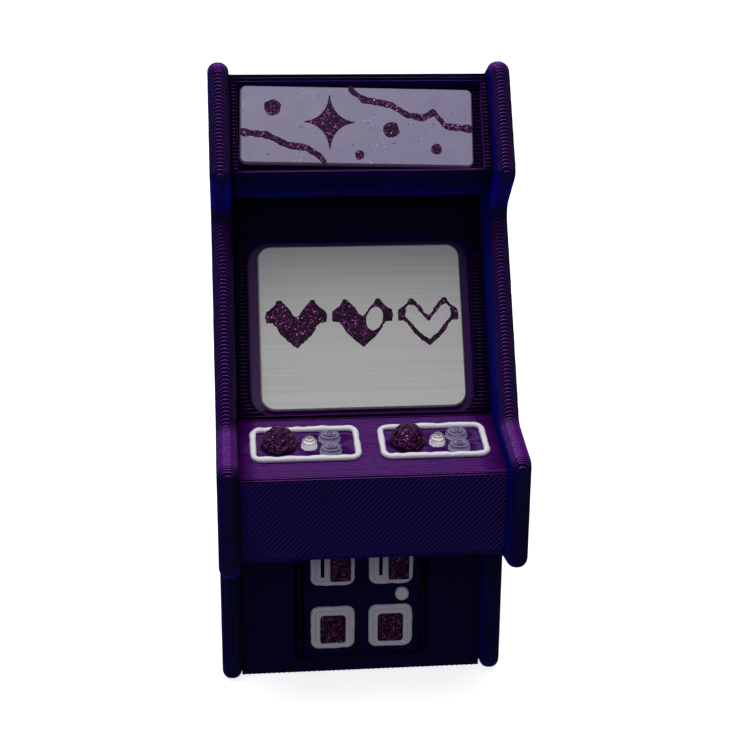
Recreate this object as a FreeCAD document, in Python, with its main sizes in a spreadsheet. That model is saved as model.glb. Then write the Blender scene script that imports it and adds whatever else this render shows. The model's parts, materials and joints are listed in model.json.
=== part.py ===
import FreeCAD, Part
import os
import re
import Sketcher

# A toy-size upright video arcade cabinet for two players, about 33 mm wide, 33 mm deep and
# 71 mm tall, as a kit of separately printed pieces with working controls and a coin door.
#
# Frame: X to the player's right, -Y towards the player, +Z up. The origin lies on the floor,
# under the middle of the cabinet's box. All lengths are millimetres, all angles degrees.

V = FreeCAD.Vector
doc = FreeCAD.newDocument("MiniatureArcadeCabinet")
owner = {}      # each named size, and the name by which an expression finds it
nodes = []      # the finished sub-parts, one per file


# ---------------------------------------------------------------- driving sizes

SIZES = [
    # the whole cabinet
    ("cabinet_width", 33), ("cabinet_depth", 33), ("cabinet_height", 71), ("back_drop", 5),
    # side panels: outline of the slab, seen from the side
    ("side_thick", 2.3), ("side_round", 1.05), ("corner_round", 1.5),
    ("leg_setback", 13.5), ("leg_height", 18), ("wing_bottom", 19.8), ("wing_top", 32.35),
    ("knee_run", 7.42), ("head_height", 16.03), ("brow_run", 4.62), ("crown_flat", 1.97),
    ("deck_tilt", 14.2), ("neck_run", 11.07544), ("marquee_tilt", 29.2),
    # panels between the sides
    ("panel_thick", 1.6), ("face_inset", 1.8), ("deck_inset", 2.33), ("top_inset", 1.4),
    ("deck_depth", 10.8), ("deck_tuck", 4), ("deck_round", 0.6), ("apron_lift", 1.1),
    ("apron_lip", 0.5), ("floor_thick", 1.4), ("ceiling_rise", 1.73), ("ceiling_thick", 1.4),
    ("housing_thick", 3), ("back_thick", 1.6), ("base_thick", 1.8),
    # screen, in its bezel's plane
    ("bezel_side", 1.6), ("bezel_sill", 0.66), ("bezel_head", 6.12), ("opening_round", 2.4),
    ("screen_gap", 1.05), ("screen_shift", 0.05), ("screen_sill_gap", 0.53), ("screen_head_gap", 0.69),
    ("screen_round", 1.6), ("screen_sink", 0.35), ("inlay_deep", 0.4),
    ("heart_gap", 0.71), ("heart_edge", 0.715), ("heart_shape", 0.806), ("heart_shift", 0.19),
    ("heart_tip", 8.26), ("heart_line", 0.5),
    # marquee, in its housing's plane
    ("recess_side", 0.85), ("recess_bottom", 0.35), ("recess_length", 10.07), ("recess_deep", 1.2),
    ("plate_gap", 0.62), ("plate_head_gap", 0.56), ("plate_thick", 1), ("plate_round", 0.6),
    ("plate_skew", -1.6), ("plate_shift", -0.42), ("vein_width", 0.6), ("star_half", 2.6),
    ("star_waist", 0.62),
    # deck controls, in the deck's plane, from the left-hand player's frame to the right
    ("player_gap", 2), ("frame_front", 2.85), ("frame_bar", 0.7), ("frame_rise", 0.7),
    ("frame_chamfer", 1.2), ("stick_room", 0.45), ("stick_side_room", 0.4), ("start_room", 0.37),
    ("action_room", 0.17), ("frame_room", 1.35),
    ("ball_radius", 2), ("ball_gap", 0.08), ("stick_tilt", 5), ("shaft_radius", 0.5),
    ("pivot_deep", 2.9), ("shaft_tail", 1.3),
    ("ring_outer", 1.5), ("ring_inner", 0.9), ("ring_height", 0.8), ("gimbal_pin", 0.22),
    ("post_thick", 0.5), ("post_half", 0.6), ("running_gap", 0.05),
    ("start_radius", 0.88), ("start_rise", 1.1), ("action_gap", 0.46),
    ("action_wide", 1.2), ("action_deep", 0.92), ("action_rise", 0.8), ("button_flange", 0.11),
    ("flange_thick", 0.45), ("flange_gap", 0.05), ("button_stem", 0.55), ("button_tail", 3),
    ("pad_thick", 1.5), ("tray_deep", 5), ("tray_wall", 0.6),
    # kick panel, coin door and what it carries, in the kick panel's plane
    ("kick_thick", 1.8), ("door_groove", 1.1), ("door_sill", 0.6), ("door_head", 0.5),
    ("door_half", 6.8), ("door_bottom", 2.2), ("door_top", 17.4), ("door_thick", 1.5),
    ("stop_thick", 1.2), ("stop_margin", 1.5), ("stop_lap", 0.6),
    ("hinge_radius", 0.25), ("hinge_out", 0.5), ("hinge_deep", 0.5), ("hinge_bite", 0.75),
    ("knuckle_radius", 0.46), ("knuckle_length", 2), ("knuckle_inset", 1.4),
    ("coin_margin", 0.775), ("coin_gap", 1.65), ("bezel_height", 5.4),
    ("bezel_rise", 0.5), ("bezel_round", 0.9), ("bezel_rim", 0.55), ("bezel_dish", 0.22),
    ("slot_bezel_drop", 0.6), ("return_bezel_lift", 1),
    ("slot_offset", 1.42), ("slot_wide", 0.4), ("slot_lift", 1), ("slot_long", 3.6),
    ("reject_offset", 2.4), ("reject_width", 2.3), ("reject_lift", 0.6), ("reject_height", 4.2),
    ("reject_rise", 0.3), ("flap_offset", 1.2), ("flap_width", 2.85), ("flap_lift", 0.55),
    ("flap_height", 3.6), ("flap_thick", 0.6), ("flap_rise", 0.15), ("flap_round", 0.5),
    ("flap_pin", 0.2), ("flap_pin_drop", 0.45), ("flap_pin_long", 0.5), ("seat_gap", 0.08),
    ("lock_inset", 2.04), ("lock_radius", 0.82), ("lock_rise", 0.6),
    ("lock_shaft", 0.37), ("cam_long", 2.2), ("cam_half", 0.45), ("cam_thick", 0.4),
]

sizes = doc.addObject("Spreadsheet::Sheet", "Sizes")
for row, (alias, number) in enumerate(SIZES, start=1):
    sizes.set(f"A{row}", alias)
    sizes.set(f"B{row}", str(number))
    sizes.setAlias(f"B{row}", alias)
    owner[alias] = f"Sizes.{alias}"


def full(text):
    """The expression with every named size written out in full."""
    return re.sub(r"[a-z][a-z_]+", lambda word: owner.get(word.group(), word.group()), text)


# ---------------------------------------------------------------- sizes that follow

worked_out = doc.addObject("App::VarSet", "WorkedOut")


def derive(name, expression):
    """A size that follows from the driving sizes."""
    worked_out.addProperty("App::PropertyFloat", name)
    worked_out.setExpression(name, full(expression))
    owner[name] = f"WorkedOut.{name}"


derive("reach", "2 * cabinet_height")
derive("front_edge", "-cabinet_depth / 2")
derive("back_edge", "cabinet_depth / 2")
derive("back_inside", "back_edge - back_thick")
derive("inner_half", "cabinet_width / 2 - side_thick")
derive("leg_front", "front_edge + leg_setback")
derive("neck_height", "cabinet_height - head_height")
derive("back_height", "cabinet_height - back_drop")
derive("knee_y", "front_edge + knee_run")
derive("knee_z", "wing_top + knee_run * tan(deck_tilt)")
derive("neck_y", "knee_y + neck_run")
derive("screen_tilt", "atan(neck_run / (neck_height - knee_z))")
derive("brow_y", "neck_y - brow_run")
derive("brow_z", "neck_height + brow_run")
derive("crown_y", "brow_y + (cabinet_height - brow_z) * tan(marquee_tilt)")
derive("crown_back", "crown_y + crown_flat")
derive("top_fall", "atan((cabinet_height - back_height) / (back_edge - crown_back))")
derive("top_y", "crown_back - top_inset * sin(top_fall)")
derive("top_z", "cabinet_height - top_inset * cos(top_fall)")
derive("apron_bottom", "wing_bottom + apron_lift")
derive("ceiling_height", "neck_height + ceiling_rise")
derive("deck_y", "front_edge + face_inset")
derive("deck_z", "wing_top + face_inset * tan(deck_tilt) - deck_inset / cos(deck_tilt)")
derive("screen_y", "deck_y + deck_depth * cos(deck_tilt)")
derive("screen_z", "deck_z + deck_depth * sin(deck_tilt)")
derive("brow_share", "(1 + sqrt(2) * sin(marquee_tilt)) / (cos(marquee_tilt) + sin(marquee_tilt))")
derive("marquee_y", "brow_y + face_inset * brow_share")
derive("marquee_z", "brow_z + face_inset * (sqrt(2) - brow_share)")
derive("ceiling_front", "marquee_y + marquee_z - ceiling_height")
derive("bezel_top_y", "screen_y + (ceiling_height - screen_z) * tan(screen_tilt)")
derive("ceiling_back", "bezel_top_y + 2 * panel_thick / cos(screen_tilt)")
derive("kick_y", "leg_front + face_inset")
derive("kick_back", "kick_y + kick_thick")
derive("opening_half", "inner_half - bezel_side")
derive("opening_bottom", "bezel_sill")
derive("opening_top", "(ceiling_height - screen_z) / cos(screen_tilt) - bezel_head")
derive("screen_width", "2 * (opening_half - screen_gap)")
derive("screen_bottom", "opening_bottom + screen_sill_gap")
derive("screen_top", "opening_top - screen_head_gap")
derive("heart_width", "(screen_width - 2 * heart_edge - 2 * heart_gap) / 3")
derive("heart_pitch", "heart_width + heart_gap")
derive("heart_height", "heart_width * heart_shape")
derive("recess_half", "inner_half - recess_side")
derive("plate_width", "2 * (recess_half - plate_gap)")
derive("plate_height", "recess_length - 2 * plate_head_gap")
derive("both_tilts", "sqrt(2) * stick_tilt")
derive("ball_drop", "ball_radius * sin(both_tilts)")
derive("ball_rise", "(pivot_deep + ball_gap + ball_drop) / cos(both_tilts) - pivot_deep")
derive("shaft_hole", "shaft_radius + pivot_deep * sin(both_tilts) + 2 * running_gap")
derive("frame_depth", "2 * (frame_bar + stick_side_room + ball_radius)")
derive("stick_s", "frame_front + frame_depth / 2")
derive("stick_from_left", "frame_bar + stick_room + ball_radius")
derive("start_from_left", "stick_from_left + ball_radius + start_room + start_radius")
derive("action_from_left", "start_from_left + start_radius + action_room + action_wide")
derive("frame_width", "action_from_left + action_wide + frame_room + frame_bar")
derive("frame_left", "-frame_width - player_gap / 2")
derive("player_pitch", "frame_width + player_gap")
derive("stick_x", "frame_left + stick_from_left")
derive("start_x", "frame_left + start_from_left")
derive("action_x", "frame_left + action_from_left")
derive("start_rounding", "start_radius * 0.8")
derive("action_rounding", "action_deep * 0.6")
derive("action_pitch", "2 * action_deep + action_gap")
derive("action_front", "stick_s - action_pitch / 2")
derive("gate_half", "door_half + door_groove")
derive("gate_bottom", "door_bottom - door_sill")
derive("gate_top", "door_top + door_head")
derive("coin_left", "coin_margin - door_half")
derive("bezel_width", "door_half - coin_margin - coin_gap / 2")
derive("coin_pitch", "bezel_width + coin_gap")
derive("slot_bezel_bottom", "door_top - slot_bezel_drop - bezel_height")
derive("return_bezel_bottom", "door_bottom + return_bezel_lift")
derive("lock_x", "door_half - lock_inset")
derive("lock_height", "(return_bezel_bottom + bezel_height + slot_bezel_bottom) / 2")
derive("hinge_x", "-door_half - hinge_out")
derive("hinge_y", "kick_y + hinge_deep")
derive("cam_deep", "kick_thick + stop_thick + running_gap")
doc.recompute()


probe = doc.addObject("App::VarSet", "Probe")
probe.addProperty("App::PropertyFloat", "number")


def value(expression):
    """The number that an expression stands for now."""
    probe.setExpression("number", full(expression))
    probe.recompute()
    return probe.number


# ---------------------------------------------------------------- stations
# A station is a plane to build on: x to the right, s up along the plane, h out of it.

def station(y, z, tilt):
    """A plane through (y, z) whose s axis rises at tilt above the horizontal."""
    return f"placement(vector(0; {y}; {z}); rotation(vector(1; 0; 0); {tilt}))"


FLOOR = station("0", "0", "0")
DECK = station("deck_y", "deck_z", "deck_tilt")
SCREEN = station("screen_y", "screen_z", "90 - screen_tilt")
SOFFIT = station("marquee_y", "marquee_z", "135")
MARQUEE = station("marquee_y", "marquee_z", "90 - marquee_tilt")
TOP = station("top_y", "top_z", "-top_fall")
KICK = station("kick_y", "0", "90")
PLATE = (MARQUEE + " * placement(vector(plate_shift; recess_bottom + recess_length / 2; -recess_deep);"
         " rotation(vector(0; 0; 1); plate_skew))")
TURN_TO_X = "rotation(vector(0; 1; 0); 90)"
TURN_TO_S = "rotation(vector(1; 0; 0); -90)"
NO_TURN = "rotation(vector(0; 0; 1); 0)"


def place(item, where, x, s, h, turn=NO_TURN):
    """Put an item at (x, s, h) of a station."""
    item.setExpression("Placement", full(f"{where} * placement(vector({x}; {s}; {h}); {turn})"))


# ---------------------------------------------------------------- solids

def new(kind, label):
    item = doc.addObject(kind, label)
    item.Label = label
    return item


def block(label, where, x, s, h):
    """A box between (low, high) along each axis of a station."""
    box = new("Part::Box", label)
    for side, (low, high) in zip(("Length", "Width", "Height"), (x, s, h)):
        box.setExpression(side, full(f"({high}) - ({low})"))
    place(box, where, x[0], s[0], h[0])
    return box


def round_bar(label, where, start, length, radius, turn=NO_TURN):
    """A cylinder from a start point (x, s, h), along h unless it is turned."""
    bar = new("Part::Cylinder", label)
    bar.setExpression("Radius", full(radius))
    bar.setExpression("Height", full(length))
    place(bar, where, *start, turn)
    return bar


def peg(label, where, x, s, h, radius):
    """A cylinder that stands on a station's plane, between heights h."""
    return round_bar(label, where, (x, s, h[0]), f"({h[1]}) - ({h[0]})", radius)


def oval_peg(label, where, x, s, h, wide, deep):
    """An oval cylinder that stands on a station's plane."""
    oval = new("Part::Ellipse", label + " outline")
    oval.setExpression("MajorRadius", full(wide))
    oval.setExpression("MinorRadius", full(deep))
    place(oval, where, x, s, h[0])
    post = new("Part::Extrusion", label)
    post.Base = oval
    post.DirMode = "Normal"
    post.Solid = True
    post.setExpression("LengthFwd", full(f"({h[1]}) - ({h[0]})"))
    return post


def ball(label, where, x, s, h, radius):
    globe = new("Part::Sphere", label)
    globe.setExpression("Radius", full(radius))
    place(globe, where, x, s, h)
    return globe


def fuse(label, *pieces):
    whole = new("Part::MultiFuse", label)
    whole.Shapes = list(pieces)
    whole.Refine = True
    return whole


def cut(label, base, *tools):
    rest = new("Part::Cut", label)
    rest.Base = base
    rest.Tool = tools[0] if len(tools) == 1 else fuse(label + " tools", *tools)
    return rest


def outside(where, low="0"):
    """The whole space above height low of a station, to trim with."""
    return block("trim", where, ("-reach", "reach"), ("-reach", "reach"), (low, "reach"))


def inside(where, high="0"):
    """The whole space below height high of a station, to trim with."""
    return block("trim", where, ("-reach", "reach"), ("-reach", "reach"), ("-reach", high))


def sketch_outline(body, points, plane):
    """A closed outline of straight sides through (across, up) points, each held to its size."""
    sketch = body.newObject("Sketcher::SketchObject", "outline")
    sketch.AttachmentSupport = [(next(f for f in body.Origin.OriginFeatures if f.Role == plane), "")]
    sketch.MapMode = "FlatFace"
    corners = [V(value(across), value(up), 0) for across, up in points]
    for k, corner in enumerate(corners):
        sketch.addGeometry(Part.LineSegment(corner, corners[(k + 1) % len(corners)]))
    for k in range(len(corners)):
        sketch.addConstraint(Sketcher.Constraint("Coincident", k, 2, (k + 1) % len(corners), 1))
    for k, corner in enumerate(corners):
        for kind, distance, wanted in zip(("DistanceX", "DistanceY"), corner, points[k]):
            index = sketch.addConstraint(Sketcher.Constraint(kind, -1, 1, k, 1, distance))
            sketch.setExpression(f"Constraints[{index}]", full(wanted))
    return sketch


def prism(label, where, points, h, corner=None):
    """A PartDesign slab of a straight-sided outline, its upright edges rounded to corner."""
    body = new("PartDesign::Body", label)
    pad = body.newObject("PartDesign::Pad", "slab")
    pad.Profile = sketch_outline(body, points, "XY_Plane")
    pad.setExpression("Length", full(f"({h[1]}) - ({h[0]})"))
    place(body, where, "0", "0", h[0])
    if corner:
        doc.recompute()
        round_edges(body, pad, corner, lambda edge: abs(edge.BoundBox.ZLength) > edge.Length / 2)
    return body


def round_edges(body, base, radius, chosen):
    """Round the edges of a body's feature for which chosen(edge) holds."""
    names = [f"Edge{k}" for k, edge in enumerate(base.Shape.Edges, start=1) if chosen(edge)]
    rounding = body.newObject("PartDesign::Fillet", "rounding")
    rounding.Base = (base, names)
    rounding.setExpression("Radius", full(radius))
    body.Tip = rounding
    doc.recompute()
    return rounding


def soften(label, base, radius, chosen):
    """Round the chosen edges of a finished boolean."""
    doc.recompute()
    amount = value(radius)
    softened = new("Part::Fillet", label)
    softened.Base = base
    softened.Edges = [(k, amount, amount) for k, edge in enumerate(base.Shape.Edges, start=1)
                      if chosen(edge)]
    doc.recompute()
    return softened


def node(name, item):
    """Keep an item as the sub-part of this name."""
    item.Label = name
    nodes.append(item)
    return item


BETWEEN_SIDES = ("-inner_half", "inner_half")


def rectangle(x, s):
    """The four corners of a rectangle."""
    return [(x[0], s[0]), (x[1], s[0]), (x[1], s[1]), (x[0], s[1])]


# ---------------------------------------------------------------- side panels

PROFILE = [
    ("leg_front", "0"), ("leg_front", "leg_height"), ("front_edge", "wing_bottom"),
    ("front_edge", "wing_top"), ("knee_y", "knee_z"), ("neck_y", "neck_height"),
    ("brow_y", "brow_z"), ("crown_y", "cabinet_height"), ("crown_back", "cabinet_height"),
    ("back_edge", "back_height"), ("back_edge", "0"),
]


def side_panel(name, x):
    """One flat slab with the cabinet's outline; its rim is rounded except at the back."""
    body = new("PartDesign::Body", name)
    slab = body.newObject("PartDesign::Pad", "slab")
    slab.Profile = sketch_outline(body, PROFILE, "YZ_Plane")
    slab.setExpression("Length", full("side_thick"))
    place(body, FLOOR, x, "0", "0")
    doc.recompute()
    back = value("back_edge")

    def crosswise(edge):
        return edge.BoundBox.XLength > edge.Length / 2 and edge.CenterOfMass.y < back - 1e-3

    def rim(edge):
        return edge.BoundBox.XLength < 1e-3 and edge.CenterOfMass.y < back - 1e-3

    softened = round_edges(body, slab, "corner_round", crosswise)
    round_edges(body, softened, "side_round", rim)
    return node(name, body)


side_panel("left_side_panel", "-cabinet_width / 2")
side_panel("right_side_panel", "inner_half")


# ---------------------------------------------------------------- panels between the sides

below_deck_face = inside(DECK)
under_deck = outside(DECK, "-panel_thick")
above_top = outside(TOP)
before_housing_back = outside(MARQUEE, "-housing_thick")
above_ceiling = outside(FLOOR, "ceiling_height")
below_ceiling = inside(FLOOR, "ceiling_height")
before_soffit = outside(SOFFIT)


def apron_panel():
    """The upright front of the control box, with a rounded bottom lip."""
    board = block("apron board", FLOOR, BETWEEN_SIDES, ("deck_y", "deck_y + panel_thick"),
                  ("apron_bottom", "deck_z + panel_thick"))
    trimmed = cut("apron trimmed", board, under_deck)
    front = value("deck_y")
    bottom = value("apron_bottom")

    def lip(edge):
        middle = edge.CenterOfMass
        return abs(middle.y - front) < 1e-3 and abs(middle.z - bottom) < 1e-3

    return node("apron_panel", soften("apron", trimmed, "apron_lip", lip))


def marquee_housing():
    """The head's front block, with the shallow tray that the sign plate lies in."""
    slab = block("housing slab", MARQUEE, BETWEEN_SIDES, ("-housing_thick * 2", "reach"),
                 ("-housing_thick", "0"))
    tray = block("sign recess", MARQUEE, ("-recess_half", "recess_half"),
                 ("recess_bottom", "recess_bottom + recess_length"), ("-recess_deep", "panel_thick"))
    return node("marquee_housing", cut("housing", slab, tray, above_top, before_soffit))


def brow_panel():
    """The slanted underside of the head, and the ceiling over the screen."""
    slant = block("soffit slab", SOFFIT, BETWEEN_SIDES, ("-reach", "0"), ("-ceiling_thick", "0"))
    soffit = cut("soffit", slant, below_ceiling, before_housing_back)
    ceiling = block("ceiling", FLOOR, BETWEEN_SIDES, ("ceiling_front", "ceiling_back"),
                    ("ceiling_height", "ceiling_height + ceiling_thick"))
    return node("brow_panel", fuse("brow", soffit, ceiling))


def top_panel():
    board = block("top board", TOP, BETWEEN_SIDES, ("-reach", "reach"), ("-panel_thick", "0"))
    behind_back = block("trim", FLOOR, ("-reach", "reach"), ("back_inside", "reach"), ("0", "reach"))
    return node("top_panel", cut("top", board, before_housing_back, behind_back))


def back_panel():
    board = block("back board", FLOOR, BETWEEN_SIDES, ("back_inside", "back_edge"),
                  ("0", "cabinet_height"))
    return node("back_panel", cut("back", board, above_top))


apron_panel()
marquee_housing()
brow_panel()
top_panel()
back_panel()
node("base_panel", block("base", FLOOR, BETWEEN_SIDES, ("kick_back", "back_inside"), ("0", "base_thick")))
node("control_box_floor", block("box floor", FLOOR, BETWEEN_SIDES,
                                ("deck_y + panel_thick", "kick_back"),
                                ("apron_bottom", "apron_bottom + floor_thick")))


# ---------------------------------------------------------------- screen

HEART_SIDE = [(0.30, 0.21), (0.62, 0.40), (1.0, 0.60), (1.0, 0.78), (0.82, 0.86), (0.58, 1.0),
              (0.36, 0.90), (0.20, 0.76)]      # shares of half the width, and of the height
HEART_NOTCH = 0.72      # where the lobes part, as a share of the height
TIP_DRAW = 1.3          # how far the tip moves in for each unit of inset
LOBE_DRAW = 0.9         # and how far the lobes do


def heart_points(middle, inset):
    """A heart on its tip, drawn in from its full size by inset all round."""
    half = f"(heart_width / 2 - {inset})"
    height = f"(heart_height - {TIP_DRAW + LOBE_DRAW} * {inset})"
    tip = f"(heart_tip + {TIP_DRAW} * {inset})"
    right = [(f"{middle} + {half} * {across}", f"{tip} + {height} * {up}") for across, up in HEART_SIDE]
    left = [(f"{middle} - {half} * {across}", f"{tip} + {height} * {up}") for across, up in HEART_SIDE]
    notch = (middle, f"{tip} + {height} * {HEART_NOTCH}")
    return [(middle, tip)] + right + [notch] + left[::-1]


def screen():
    """Bezel with a rounded opening, the blank board behind it, and the plate with three hearts."""
    above = "cabinet_height"
    bezel = block("bezel board", SCREEN, BETWEEN_SIDES, ("-deck_depth", above), ("-panel_thick", "0"))
    window = prism("bezel opening", SCREEN, rectangle(("-opening_half", "opening_half"),
                                                      ("opening_bottom", "opening_top")),
                   ("-2 * panel_thick", "panel_thick"), "opening_round")
    node("screen_bezel", cut("bezel", bezel, window, below_deck_face, above_ceiling))
    backing = block("backing board", SCREEN, BETWEEN_SIDES, ("-deck_depth", above),
                    ("-2 * panel_thick", "-panel_thick"))
    node("screen_backing", cut("backing", backing, below_deck_face, above_ceiling))

    left = "screen_shift - screen_width / 2"
    right = "screen_shift + screen_width / 2"
    plate = prism("plate slab", SCREEN, rectangle((left, right), ("screen_bottom", "screen_top")),
                  ("-panel_thick", "-screen_sink"), "screen_round")
    depth = ("-screen_sink - inlay_deep", "-screen_sink")
    hearts = []
    for name, step in (("heart_full", -1), ("heart_half", 0), ("heart_outline", 1)):
        middle = f"(heart_shift + heart_pitch * {step})"
        heart = prism(name + " solid", SCREEN, heart_points(middle, "0"), depth)
        hole = prism(name + " hole", SCREEN, heart_points(middle, "heart_line"), depth)
        if name == "heart_half":
            right_half = block("right half", SCREEN, (middle, "reach"), ("0", "reach"), depth)
            half_hole = new("Part::Common", "half hole")
            half_hole.Base = hole
            half_hole.Tool = right_half
            hole = half_hole
        hearts.append(node(name, heart if name == "heart_full" else cut(name + " ring", heart, hole)))
    node("screen_plate", cut("screen", plate, below_deck_face, *hearts))


screen()


# ---------------------------------------------------------------- marquee sign

# Places on the plate, as shares of half its width and of half its height from its middle.
STAR = (-0.236, 0.0782)
DOTS = [(-0.723, 0.425), (0.291, -0.0894), (0.676, -0.57), (0.0196, -0.749)]
DOT_RADII = [0.84, 0.83, 0.5, 0.45]
VEINS = [
    [(-0.99, -0.212), (-0.766, -0.279), (-0.597, -0.525), (-0.432, -0.592), (-0.33, -0.782),
     (-0.267, -0.999)],
    [(-0.0747, 0.999), (0.0472, 0.67), (0.291, 0.547), (0.432, 0.29), (0.566, 0.224), (0.66, 0.38),
     (0.762, 0.0223), (1, -0.0447)],
]
WIDE = "plate_width / 2"
HIGH = "plate_height / 2"


def star_points():
    """A four-pointed star."""
    middle_x = f"{STAR[0]} * {WIDE}"
    middle_s = f"{STAR[1]} * {HIGH}"
    tips = [(0, 1), (1, 0), (0, -1), (-1, 0)]
    waists = [(1, 1), (1, -1), (-1, -1), (-1, 1)]
    points = []
    for (tip_x, tip_s), (waist_x, waist_s) in zip(tips, waists):
        points.append((f"{middle_x} + star_half * {tip_x}", f"{middle_s} + star_half * {tip_s}"))
        points.append((f"{middle_x} + star_waist * {waist_x}", f"{middle_s} + star_waist * {waist_s}"))
    return points


def vein_points(path):
    """A crooked band of even width along a path, cut square at the plate's edges."""
    half = "vein_width / 2"
    upper = [(f"{x} * {WIDE}", f"{s} * {HIGH} + {half}") for x, s in path]
    lower = [(f"{x} * {WIDE}", f"{s} * {HIGH} - {half}") for x, s in path]
    return lower + upper[::-1]


def marquee_sign():
    """The sign plate, which sits a little askew, with its inlays level with its face."""
    slab = prism("sign slab", PLATE, rectangle(("-plate_width / 2", "plate_width / 2"),
                                               ("-plate_height / 2", "plate_height / 2")),
                 ("0", "plate_thick"), "plate_round")
    depth = ("plate_thick - inlay_deep", "plate_thick")
    star = node("marquee_star", prism("star", PLATE, star_points(), depth))
    pegs = [peg("dot", PLATE, f"{x} * {WIDE}", f"{s} * {HIGH}", depth, str(radius))
            for (x, s), radius in zip(DOTS, DOT_RADII)]
    dots = node("marquee_dots", fuse("dots", *pegs))
    bands = [prism("vein", PLATE, vein_points(path), depth) for path in VEINS]
    veins = new("Part::Common", "veins on the plate")
    veins.Base = fuse("veins", *bands)
    veins.Tool = slab
    node("marquee_veins", veins)
    node("marquee_plate", cut("sign", slab, star, dots, veins))


marquee_sign()


# ---------------------------------------------------------------- deck controls

def octagon(x, s, chamfer):
    """A rectangle with its corners cut off."""
    (left, right), (front, rear) = x, s
    return [(f"{left} + {chamfer}", front), (f"{right} - {chamfer}", front),
            (right, f"{front} + {chamfer}"), (right, f"{rear} - {chamfer}"),
            (f"{right} - {chamfer}", rear), (f"{left} + {chamfer}", rear),
            (left, f"{rear} - {chamfer}"), (left, f"{front} + {chamfer}")]


def button(name, shape, x, s, rise, rounding):
    """A plunger with a collar under the deck and a stem that rests on the rubber pad.

    shape(label, x, s, h, extra) makes the button's own outline, drawn out by extra.
    """
    head = shape(name + " head", x, s, ("-panel_thick - flange_gap", rise), "0")
    collar = shape(name + " collar", x, s,
                   ("-panel_thick - flange_gap - flange_thick", "-panel_thick - flange_gap"),
                   "button_flange")
    stem = peg(name + " stem", DECK, x, s, ("-panel_thick - button_tail + pad_thick", "-panel_thick"),
               "button_stem")
    whole = fuse(name + " whole", head, collar, stem)
    doc.recompute()
    top = max(edge.CenterOfMass.z for edge in whole.Shape.Edges)
    return node(name, soften(name, whole, rounding, lambda edge: edge.CenterOfMass.z > top - 1e-6))


def round_button(label, x, s, h, extra):
    return peg(label, DECK, x, s, h, f"start_radius + {extra}")


def oval_button(label, x, s, h, extra):
    return oval_peg(label, DECK, x, s, h, f"action_wide + {extra}", f"action_deep + {extra}")


def stick(side, x):
    """Ball and shaft that tilt in a gimbal ring; the ring tilts on two posts of the tray."""
    s = "stick_s"
    knob = ball("knob", DECK, x, s, "ball_rise", "ball_radius")
    beside = (f"{x} - 2 * ball_radius", f"{x} + 2 * ball_radius")
    along = (f"{s} - 2 * ball_radius", f"{s} + 2 * ball_radius")
    lower_half = block("knob trim", DECK, beside, along, ("-2 * ball_radius", "ball_rise"))
    node(side + "_joystick_ball", cut("knob half", knob, lower_half))
    shaft = peg("shaft", DECK, x, s, ("-pivot_deep - shaft_tail", "ball_rise"), "shaft_radius")
    across = round_bar("shaft pin", DECK, (x, f"{s} - ring_outer", "-pivot_deep"), "2 * ring_outer",
                       "gimbal_pin", TURN_TO_S)
    node(side + "_joystick_shaft", fuse("stick", shaft, across))

    ring_height = ("-pivot_deep - ring_height / 2", "-pivot_deep + ring_height / 2")
    ring = peg("ring", DECK, x, s, ring_height, "ring_outer")
    bore = peg("ring bore", DECK, x, s, ring_height, "ring_inner")
    arm = round_bar("ring pin", DECK, (f"{x} - ring_outer - post_thick - running_gap", s, "-pivot_deep"),
                    "2 * (ring_outer + post_thick + running_gap)", "gimbal_pin", TURN_TO_X)
    pin_hole = round_bar("ring pin hole", DECK, (x, f"{s} - 2 * ring_outer", "-pivot_deep"),
                         "4 * ring_outer", "gimbal_pin + running_gap", TURN_TO_S)
    node(side + "_stick_yoke", cut("yoke", fuse("ring and pins", ring, arm), bore, pin_hole))


def tray(side, shift, x):
    """The open box under the deck that holds the gimbal's posts and the rubber pad."""
    left = f"(frame_left + {shift})"
    right = f"({left} + frame_width)"
    front = "frame_front"
    rear = "(frame_front + frame_depth)"
    shell = block("tray shell", DECK, (left, right), (front, rear), ("-tray_deep", "-panel_thick"))
    hollow = block("tray hollow", DECK, (f"{left} + tray_wall", f"{right} - tray_wall"),
                   (f"{front} + tray_wall", f"{rear} - tray_wall"), ("-tray_deep + tray_wall", "0"))
    pieces = [cut("tray box", shell, hollow)]
    for sign in (-1, 1):
        near = f"{x} + {sign} * (ring_outer + running_gap)"
        far = f"{x} + {sign} * (ring_outer + running_gap + post_thick)"
        low, high = (near, far) if sign > 0 else (far, near)
        post = block("gimbal post", DECK, (low, high), ("stick_s - post_half", "stick_s + post_half"),
                     ("-tray_deep + tray_wall", "-pivot_deep + post_half"))
        hole = round_bar("post hole", DECK, (f"{x} - 2 * ring_outer", "stick_s", "-pivot_deep"),
                         "4 * ring_outer", "gimbal_pin + running_gap", TURN_TO_X)
        pieces.append(cut("post", post, hole))
    node(side + "_control_tray", fuse("tray", *pieces))

    pad_left = f"({x} + ring_outer + post_thick + 3 * running_gap)"
    node(side + "_button_pad", block("pad", DECK, (pad_left, f"{right} - tray_wall - running_gap"),
                                     (f"{front} + tray_wall + running_gap",
                                      f"{rear} - tray_wall - running_gap"),
                                     ("-tray_deep + tray_wall",
                                      "-panel_thick - button_tail + pad_thick - flange_gap")))


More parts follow.
